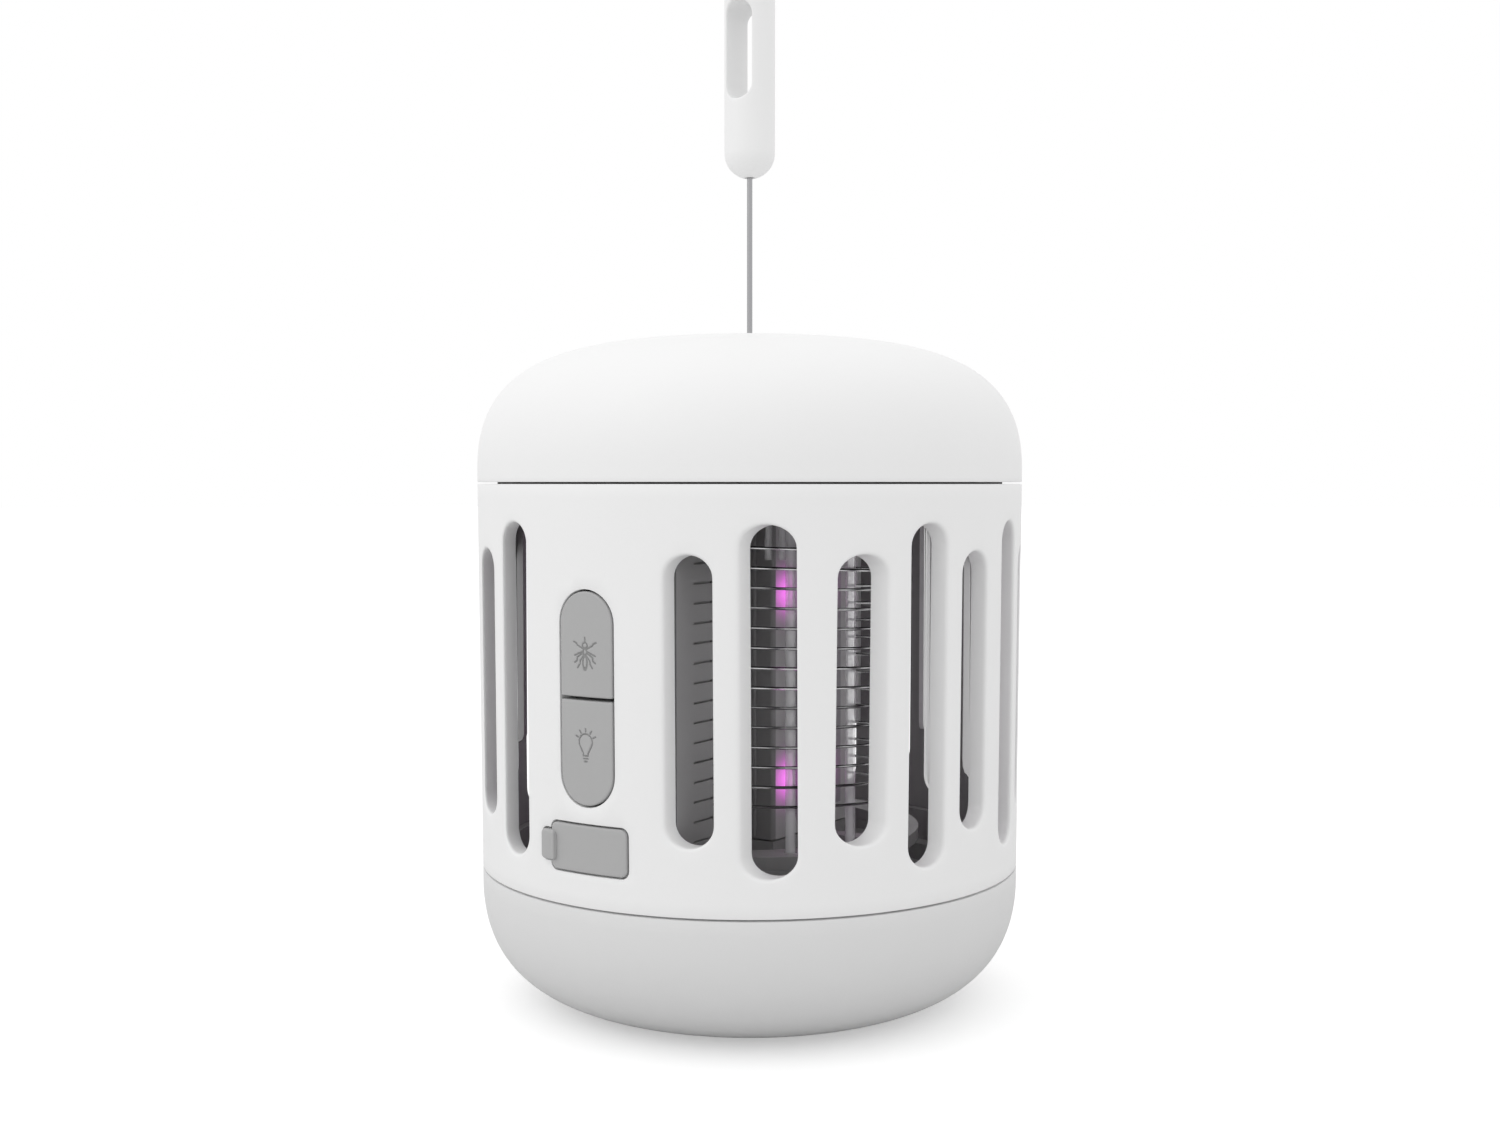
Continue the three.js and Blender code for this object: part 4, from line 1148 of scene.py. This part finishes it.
@dataclass
class Button:
    """Half of the silicone rocker: its face, retaining flange, stem and engraved pictogram."""

    name: str
    upper: bool
    pictogram: Pictogram
    mark_level: float
    form: RoundForm = BODY
    width: float = 9.4
    stack: float = 31.6
    centre: float = 53.4
    split: float = 0.5
    proud: float = 0.1
    edge: float = 0.28
    flange: float = 0.9
    flange_span: Flat = (39.9, 41.1)
    stem: tuple[float, float, float] = (1.2, 38.7, 40.1)
    line_width: float = 0.115
    line_depth: float = 0.17
    corner: float = 0.35
    flange_corner: float = 0.6
    back: float = -3.0
    step: float = 0.1

    def half(self, width: float, stack: float, corner: float) -> list[Flat]:
        """Outline of this half of the capsule, anticlockwise."""
        radius = width / 2
        reach = stack / 2 - radius
        gap = self.split / 2
        if self.upper:
            points = arc((-radius + corner, self.centre + gap + corner), corner, 180, 270, 4)
            points += arc((radius - corner, self.centre + gap + corner), corner, 270, 360, 4)
            points += arc((0, self.centre + reach), radius, 0, 180, 36)
        else:
            points = arc((0, self.centre - reach), radius, 180, 360, 36)
            points += arc((radius - corner, self.centre - gap - corner), corner, 0, 90, 4)
            points += arc((-radius + corner, self.centre - gap - corner), corner, 90, 180, 4)
        return divided(points, 0.8)

    def engraved(self, t: float, z: float) -> float:
        """Depth of the pictogram's lines at a place, below zero in a line."""
        away = self.pictogram.line(t, z - self.mark_level)
        return -self.line_depth * max(0.0, min(1.0, 1.5 - away / self.line_width))

    def build(self) -> bpy.types.Object:
        """Builds the button and settles it."""
        shape = Shape()
        plate(shape, self.form, self.half(self.width, self.stack, self.corner), self.proud, self.back,
              self.edge, self.step, self.engraved)
        # Faces in the pictogram's lines take the darker finish: painted shade in the grooves.
        for i, corners in enumerate(shape.faces):
            points = [shape.points[c] for c in corners]
            middle = sum(points, Vector()) / len(points)
            deep = self.pictogram.line(middle.x, middle.z - self.mark_level) < self.line_width * 1.05
            if deep and middle.y < -self.form.foot_radius + 2.0:
                shape.finishes[i] = 1
        near, far = self.flange_span
        outline = self.half(self.width + 2 * self.flange, self.stack + 2 * self.flange,
                            self.flange_corner)
        rings = [shape.ring([Vector((t, -y, z)) for t, z in outline]) for y in (near, far)]
        shape.bridge(*rings)
        for y in (near, far):
            shape.sheet(outline, [], (3.0, 3.0), lambda t, z, y=y: Vector((t, -y, z)))
        half, back, front = self.stem
        level = self.centre + (1 if self.upper else -1) * self.stack / 4
        shape.block((-half, -front, level - half), (half, -back, level + half))
        materials = [Finish.SILICONE.material(), Finish.ENGRAVED.material()]
        piece = shape.built(f"{self.name}_face", materials, 50.0)
        return settle(piece, self.name, "silicone", self.name)


@dataclass
class PortCover:
    """Silicone cover of the charging port: flap, raised pull tab with a ridge, and plug."""

    form: RoundForm = BODY
    flap: tuple[float, float, float] = (13.8, 7.0, 1.0)
    level: float = 31.1
    proud: float = 0.25
    edge: float = 0.28
    back: float = -1.0
    tab: tuple[float, float, float] = (3.05, 4.5, 0.7)
    tab_place: float = -7.325
    tab_proud: float = 0.7
    tab_edge: float = 0.35
    ridge: tuple[float, float] = (0.75, -6.25)
    ridge_proud: float = 0.95
    plug: tuple[float, float, float] = (7.6, 2.8, 0.7)
    plug_span: Flat = (42.1, 43.9)

    def build(self) -> bpy.types.Object:
        """Builds the cover and settles it."""
        shape = Shape()
        width, height, corner = self.flap
        plate(shape, self.form, rounded(width, height, corner, (0, self.level), longest=0.6),
              self.proud, self.back, self.edge, 0.6)
        width, height, corner = self.tab
        plate(shape, self.form, rounded(width, height, corner, (self.tab_place, self.level), longest=0.4),
              self.tab_proud, self.back, self.tab_edge, 0.4)
        across, place = self.ridge
        ridge = rounded(across, height - 0.3, across * 0.42, (place, self.level), longest=0.4)
        plate(shape, self.form, ridge, self.ridge_proud, self.back, self.edge, 0.3)
        outline = rounded(*self.plug, (0, self.level))
        near, far = self.plug_span
        shape.bridge(*[shape.ring([Vector((t, -y, z)) for t, z in outline]) for y in (near, far)])
        for y in (near, far):
            shape.sheet(outline, [], (1.2, 1.2), lambda t, z, y=y: Vector((t, -y, z)))
        piece = shape.built("port_cover_flap", [Finish.SILICONE.material()], 50.0)
        return settle(piece, "port_cover", "silicone", "port_cover")


# ---------------------------------------------------------------- grid and lamps


@dataclass
class Coils:
    """The two high-voltage coils, wound one between the other."""

    radius: float = 26.5
    wire: float = 0.24
    lead: float = 6.12
    starts: tuple[tuple[str, float, float], ...] = (("live", 29.82, 7.75), ("earth", 32.88, 7.25))

    def winder(self) -> bpy.types.NodeTree:
        """Geometry tree that winds a round wire into a helix."""
        nodes, given, out = group_tree("coil_winder", "GeometryNodeTree", {
            "Geometry": ("NodeSocketGeometry", None), "Turns": ("NodeSocketFloat", 7.0),
            "Radius": ("NodeSocketFloat", 0.028), "Lead": ("NodeSocketFloat", 0.006),
            "Wire": ("NodeSocketFloat", 0.00025), "Start": ("NodeSocketFloat", 0.03),
            "Finish": ("NodeSocketMaterial", None)}, {"Geometry": "NodeSocketGeometry"})
        height = nodes.sum("MULTIPLY", given.outputs["Turns"], given.outputs["Lead"])
        spiral = nodes.add("GeometryNodeCurveSpiral", {
            "Resolution": 96, "Rotations": given.outputs["Turns"], "Start Radius": given.outputs["Radius"],
            "End Radius": given.outputs["Radius"], "Height": height})
        lift = nodes.add("ShaderNodeCombineXYZ", {"Z": given.outputs["Start"]})
        placed = nodes.add("GeometryNodeTransform", {
            "Geometry": spiral.outputs[0], "Translation": lift.outputs[0],
            "Rotation": (0.0, 0.0, -math.pi / 2)})
        section = nodes.add("GeometryNodeCurvePrimitiveCircle",
                            {"Resolution": 8, "Radius": given.outputs["Wire"]})
        swept = nodes.add("GeometryNodeCurveToMesh", {"Curve": placed.outputs[0],
                                                      "Profile Curve": section.outputs[0], "Fill Caps": True})
        real = nodes.add("GeometryNodeRealizeInstances", {0: swept.outputs[0]})
        finish = nodes.add("GeometryNodeSetMaterial", {"Geometry": real.outputs[0],
                                                       "Material": given.outputs["Finish"]})
        nodes.feed(out.inputs[0], finish.outputs[0])
        return nodes.tree

    def build(self) -> None:
        """Winds both coils and settles them."""
        tree = self.winder()
        for name, start, turns in self.starts:
            piece = grown_by_nodes(f"{name}_grid_wire", tree, {
                "Turns": turns, "Radius": self.radius * MM, "Lead": self.lead * MM, "Wire": self.wire * MM,
                "Start": start * MM, "Finish": Finish.CHROME.material()})
            smooth(piece)
            settle(piece, "root", "chrome", f"{name}_coil")


def smooth(piece: bpy.types.Object, crease: float = 40.0) -> None:
    """Shades a piece smoothly, with sharp edges above an angle."""
    piece.data.shade_smooth()
    piece.data.set_sharp_from_angle(angle=math.radians(crease))


@dataclass
class Bars:
    """Round bars repeated at given places: the coil rods, their collars, or the column's ribs."""

    name: str
    finish: Finish
    slot: str
    radius: float
    low: float
    high: float
    places: Sequence[Flat]
    sides: int = 24
    stands_for: Sequence[str] = ()
    bore: float = 0.0
    end_wall: float = field(init=False, default=0.0006)

    def tree(self) -> bpy.types.NodeTree:
        """Geometry tree that stands a bar, solid or with a bore, on each point."""
        name = "standing_tubes" if self.bore else "standing_bars"
        found = bpy.data.node_groups.get(name)
        if found:
            return found
        nodes, given, out = group_tree(name, "GeometryNodeTree", {
            "Geometry": ("NodeSocketGeometry", None), "Radius": ("NodeSocketFloat", 0.001),
            "Length": ("NodeSocketFloat", 0.05), "Bore": ("NodeSocketFloat", 0.0005),
            "Sides": ("NodeSocketInt", 24), "Finish": ("NodeSocketMaterial", None)},
            {"Geometry": "NodeSocketGeometry"})

        def swept(radius: bpy.types.NodeSocket, inset: float) -> bpy.types.NodeSocket:
            """Closed round bar of a radius, shortened at both ends."""
            height = nodes.sum("SUBTRACT", given.outputs["Length"], inset)
            top = nodes.add("ShaderNodeCombineXYZ", {"Z": height})
            line = nodes.add("GeometryNodeCurvePrimitiveLine",
                             {"Start": (0.0, 0.0, inset), "End": top.outputs[0]})
            section = nodes.add("GeometryNodeCurvePrimitiveCircle",
                                {"Resolution": given.outputs["Sides"], "Radius": radius})
            return nodes.add("GeometryNodeCurveToMesh", {
                "Curve": line.outputs[0], "Profile Curve": section.outputs[0], "Fill Caps": True}).outputs[0]

        bar = swept(given.outputs["Radius"], 0.0)
        if self.bore:
            joined = nodes.add("GeometryNodeJoinGeometry")
            core = swept(given.outputs["Bore"], self.end_wall)
            hollow = nodes.add("GeometryNodeFlipFaces", {"Mesh": core})
            nodes.feed(joined.inputs[0], hollow.outputs[0])
            nodes.feed(joined.inputs[0], bar)
            bar = joined.outputs[0]
        standing = nodes.add("GeometryNodeInstanceOnPoints", {"Points": given.outputs["Geometry"],
                                                              "Instance": bar})
        real = nodes.add("GeometryNodeRealizeInstances", {0: standing.outputs[0]})
        finish = nodes.add("GeometryNodeSetMaterial", {"Geometry": real.outputs[0],
                                                       "Material": given.outputs["Finish"]})
        nodes.feed(out.inputs[0], finish.outputs[0])
        return nodes.tree

    def build(self) -> bpy.types.Object:
        """Stands the bars in their places and settles them."""
        piece = grown_by_nodes(self.name, self.tree(), {
            "Radius": self.radius * MM, "Length": (self.high - self.low) * MM, "Bore": self.bore * MM,
            "Sides": self.sides, "Finish": self.finish.material(),
        }, [Vector((x, y, self.low)) for x, y in self.places])
        smooth(piece)
        return settle(piece, "root", self.slot, *self.stands_for)


@dataclass
class LampColumn:
    """Square column that carries the ultraviolet boards, with fine ribs on its bare front."""

    width: float = 24.6
    corner: float = 0.7
    low: float = 28.2
    high: float = 81.2
    wall: float = 1.6
    rib_radius: float = 0.3
    rib_pitch: float = 2.2
    rib_margin: float = 0.4
    ribs: int = 9
    bore_corner: float = 0.4
    step: float = 6.0

    def build(self) -> None:
        """Builds the column and its ribs and settles them."""
        shape = Shape()
        clear = self.width - 2 * self.wall
        outer = rounded(self.width, self.width, self.corner, (0, 0), longest=self.step)
        inner = rounded(clear, clear, self.bore_corner, (0, 0), longest=self.step)
        low, high, floor = self.low, self.high, self.low + self.wall
        sides = [shape.ring([Vector((x, y, z)) for x, y in outer]) for z in (low, high)]
        shape.bridge(*sides)
        # Side faces take the lighter copy, which carries painted lamp light.
        for i, corners in enumerate(shape.faces):
            if all(abs(shape.points[c].x) > self.width / 2 - 0.01 for c in corners):
                shape.finishes[i] = 1
        bore = [shape.ring([Vector((x, y, z)) for x, y in inner]) for z in (floor, high)]
        shape.bridge(*bore)
        shape.sheet(outer, [], (5, 5), lambda x, y: Vector((x, y, low)))
        shape.sheet(inner, [], (5, 5), lambda x, y: Vector((x, y, floor)))
        shape.sheet(outer, [inner], (5, 5), lambda x, y: Vector((x, y, high)))
        materials = [Finish.COLUMN.material(), Finish.COLUMN_SIDE.material()]
        settle(shape.built("lamp_column", materials), "root", "dark_plastic", "led_column")
        middle = (self.ribs - 1) / 2
        places = [((i - middle) * self.rib_pitch, -self.width / 2) for i in range(self.ribs)]
        Bars("column_ribs", Finish.COLUMN, "dark_plastic", self.rib_radius, low + self.rib_margin,
             high - self.rib_margin, places, 10).build()


# ---------------------------------------------------------------- hanger


@dataclass
class Hanger:
    """Steel wire and moulded eye that the lamp hangs from."""

    wire_radius: float = 0.45
    wire_span: Flat = (102.3, 143.1)
    eye_radius: float = 4.2
    eye_span: Flat = (135.4, 171.0)
    socket: tuple[float, float] = (0.75, 143.4)
    slot: Flat = (4.8, 16.0)
    slot_middle: float = 156.0
    slot_reach: float = 0.4
    slot_sunk: float = 0.55
    sides: int = 64
    rows: int = 14

    def wire(self) -> bpy.types.Object:
        """Builds the wire and settles it."""
        low, high = self.wire_span
        r, bevel = self.wire_radius, 0.12
        shape = Shape()
        shape.turned([(0, low), (r - bevel, low), (r, low + bevel),
                      (r, high - bevel), (r - bevel, high), (0, high)], 24)
        return settle(shape.built("hanger_rod", [Finish.STEEL.material()]), "hanger", "steel", "hanger_wire")

    def eye(self) -> bpy.types.Object:
        """Builds the eye, with its slot right through, and settles it."""
        r = self.eye_radius
        low, high = self.eye_span
        foot, head = low + r + 1.5, high - r
        form = RoundForm(foot, head, r, r)
        shape = Shape()
        bore, depth = self.socket
        start = math.degrees(math.asin((bore + 0.25) / r))
        under = [(r * math.sin(math.radians(a)), low + r - r * math.cos(math.radians(a)))
                 for a in [start + (90 - start) * i / self.rows for i in range(self.rows + 1)]]
        shape.turned([(0, depth), (bore, depth), (bore, under[0][1] + 0.3), (bore + 0.08, under[0][1] + 0.08),
                      *under, (r, foot)], self.sides)
        over = [(r * math.cos(math.radians(a)), head + r * math.sin(math.radians(a)))
                for a in [90 * i / self.rows for i in range(self.rows + 1)]]
        shape.turned(over, self.sides)
        outline = capsule(*self.slot, (0, self.slot_middle), steps=20, longest=0.8)
        reach, sunk = self.slot_reach, self.slot_sunk
        walls = [form.soft_edge(shape, 0, outline, reach, sunk, steps=5),
                 form.soft_edge(shape, 180, outline, reach, sunk, steps=5, mirrored=True)]
        shape.bridge(*walls)
        scale = math.radians(1) * r
        ends = [(-180 * scale, foot), (180 * scale, foot), (180 * scale, head), (-180 * scale, head)]
        border = divided(ends, 360 * scale / self.sides * 1.0001)
        wide = grown(outline, reach)
        front = [(form.bearing(0, t, z) * scale, z) for t, z in wide]
        back = [(u + 180 * scale, z) for u, z in front]
        start = 90 * scale
        shape.sheet([(u + start, z) for u, z in border], [front, back], (0.42, 0.6),
                    lambda u, z: form.at(u / scale, z))
        piece = shape.built("hanger_eye_moulding", [Finish.SHELL.material()])
        return settle(piece, "hanger", "shell", "hanger_eye")

    def build(self) -> None:
        """Builds the wire and the eye."""
        self.wire()
        self.eye()


# ---------------------------------------------------------------- frame nodes that stay


KEPT: dict[Finish, tuple[str, ...]] = {
    Finish.DARK: ("battery_deck", "control_housing", "grid_ring", "grid_frame", "insect_tray"),
    Finish.STEEL: ("battery_contact_left", "battery_contact_right", "dome_screw_1", "dome_screw_2",
                   "dome_screw_3", "column_screw", "charging_socket", "hanger_bush"),
    Finish.BRASS: ("contact_pin_left", "contact_pin_right", "contact_pad_left", "contact_pad_right",
                   "hanger_crimp"),
    Finish.CIRCUIT: ("main_board", "high_voltage_board"),
    Finish.BOARD: ("uv_board_left", "uv_board_right", "uv_board_rear"),
    Finish.LAMP_BOARD: ("lamp_board",),
    Finish.COMPONENT: ("step_up_transformer", "storage_capacitor", "zap_switch", "lamp_switch"),
    Finish.CELL: ("battery_cell",),
    Finish.UV_CHIP: tuple(f"uv_led_{side}_{row}" for side in ("left", "right", "rear")
                          for row in ("lower", "upper")),
    Finish.LAMP_CHIP: tuple(f"lamp_led_{i}" for i in range(1, 5)),
}


# ---------------------------------------------------------------- studio


@dataclass
class Studio:
    """Plain pale floor, soft light and the camera."""

    camera_place: tuple[float, float, float] = (156.4, -245.4, 85.0)
    azimuth: float = 32.5
    pitch: float = 2.62
    lens: float = 41.7
    floor_radius: float = 6000.0
    floor_lift: float = 0.42
    soft_lights: tuple[tuple[str, tuple[float, float, float], float, float], ...] = (
        ("key_light", (-0.45, -0.75, 0.75), 0.9, 1.45),
        ("top_light", (-0.25, -0.1, 1.1), 0.8, 0.4),
    )
    lit_place: tuple[float, float, float] = (0.0, 0.0, 0.06)

    def build(self) -> None:
        """Builds the floor, the lights and the camera."""
        self.floor()
        self.lights()
        self.camera()

    def floor(self) -> None:
        """Makes the round floor, just under the lamp's foot."""
        shape = Shape()
        shape.turned([(0.0, -4.0), (self.floor_radius, -4.0), (self.floor_radius, -0.05), (0.0, -0.05)], 96)
        shape.built("studio_floor", [self.floor_finish()])

    def floor_finish(self) -> bpy.types.Material:
        """Makes the floor's matt white, which the lens sees a little brighter than it lights the lamp."""
        material = Plastic("pale_floor", (0.72, 0.72, 0.72), (0.70, 0.70, 0.70), 0.9, grain=400.0, mottle=0.2,
                           specular=0.0).material()
        nodes = Nodes(material.node_tree)
        shader = next(n for n in material.node_tree.nodes if n.bl_idname == "ShaderNodeBsdfPrincipled")
        seen = nodes.add("ShaderNodeLightPath").outputs["Is Camera Ray"]
        lift = nodes.add("ShaderNodeMix", {0: seen, 6: opaque((0, 0, 0)), 7: opaque((1, 1, 1))},
                         data_type="RGBA")
        nodes.feed(shader.inputs["Emission Color"], lift.outputs[2])
        shader.inputs["Emission Strength"].default_value = self.floor_lift
        return material

    def lights(self) -> None:
        """Makes the white surroundings and two large soft lights."""
        world = bpy.data.worlds.new("white_studio")
        bpy.context.scene.world = world
        world.use_nodes = True
        backing = world.node_tree.nodes["Background"]
        backing.inputs["Color"].default_value = (1.0, 1.0, 1.0, 1.0)
        backing.inputs["Strength"].default_value = 1.0
        bpy.context.scene.view_settings.view_transform = "Standard"
        for name, place, size, power in self.soft_lights:
            data = bpy.data.lights.new(name, "AREA")
            data.size, data.energy = size, power
            lamp = bpy.data.objects.new(name, data)
            lamp.location = place
            lamp.rotation_mode = "QUATERNION"
            ahead = Vector(self.lit_place) - Vector(place)
            lamp.rotation_quaternion = ahead.to_track_quat("-Z", "Y")
            bpy.context.scene.collection.objects.link(lamp)

    def camera(self) -> None:
        """Makes the camera and puts it to use."""
        data = bpy.data.cameras.new("camera")
        data.sensor_width, data.lens = 36.0, self.lens
        data.clip_start, data.clip_end = 0.01, 50.0
        camera = bpy.data.objects.new("camera", data)
        a, p = math.radians(self.azimuth), math.radians(self.pitch)
        ahead = Vector((-math.sin(a) * math.cos(p), math.cos(a) * math.cos(p), -math.sin(p)))
        camera.location = Vector(self.camera_place) * MM
        camera.rotation_mode = "QUATERNION"
        camera.rotation_quaternion = ahead.to_track_quat("-Z", "Y")
        bpy.context.scene.collection.objects.link(camera)
        bpy.context.scene.camera = camera


# ---------------------------------------------------------------- assembly


ROD_CIRCLE = 25.15
ROD_BEARINGS = (47, 71.5, 108.5, 133, 227, 251.5, 288.5, 313)
ROD_SPAN = (25.9, 81.2)
COLLAR_CIRCLE = 24.4
COLLAR_BEARINGS = (39.2, 44.4, 135.6, 140.8, 219.2, 224.4, 315.6, 320.8)
COLLAR_SPAN = (73.2, 80.3)


def on_circle(radius: float, bearing: float) -> Flat:
    """Place on a circle at a bearing from -Y towards +X."""
    a = math.radians(bearing)
    return radius * math.sin(a), -radius * math.cos(a)


def write_size() -> None:
    """Updates the view layer."""
    bpy.context.view_layer.update()


def main() -> None:
    """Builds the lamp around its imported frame."""
    logging.basicConfig(level=logging.INFO, format="%(name)s: %(message)s")
    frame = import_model()
    Studio().build()
    for finish, names in KEPT.items():
        for name in names:
            dress(frame["nodes"][name], finish)
    Casing().build()
    Dome().build()
    Bowl().build()
    Button("zap_button", True, Pictogram.INSECT, 60.1).build()
    Button("lamp_button", False, Pictogram.LAMP, 46.3).build()
    PortCover().build()
    Coils().build()
    rods = [on_circle(ROD_CIRCLE, b) for b in ROD_BEARINGS]
    Bars("coil_rods", Finish.ROD, "clear_rod", 0.8, *ROD_SPAN, rods,
         stands_for=[f"coil_rod_{i}" for i in range(1, 9)], bore=0.42).build()
    collars = [on_circle(COLLAR_CIRCLE, b) for b in COLLAR_BEARINGS]
    Bars("rod_collars", Finish.ROD, "clear_rod", 0.55, *COLLAR_SPAN, collars, 12, bore=0.3).build()
    LampColumn().build()
    Hanger().build()
    write_size()


if __name__ == "__main__":
    main()
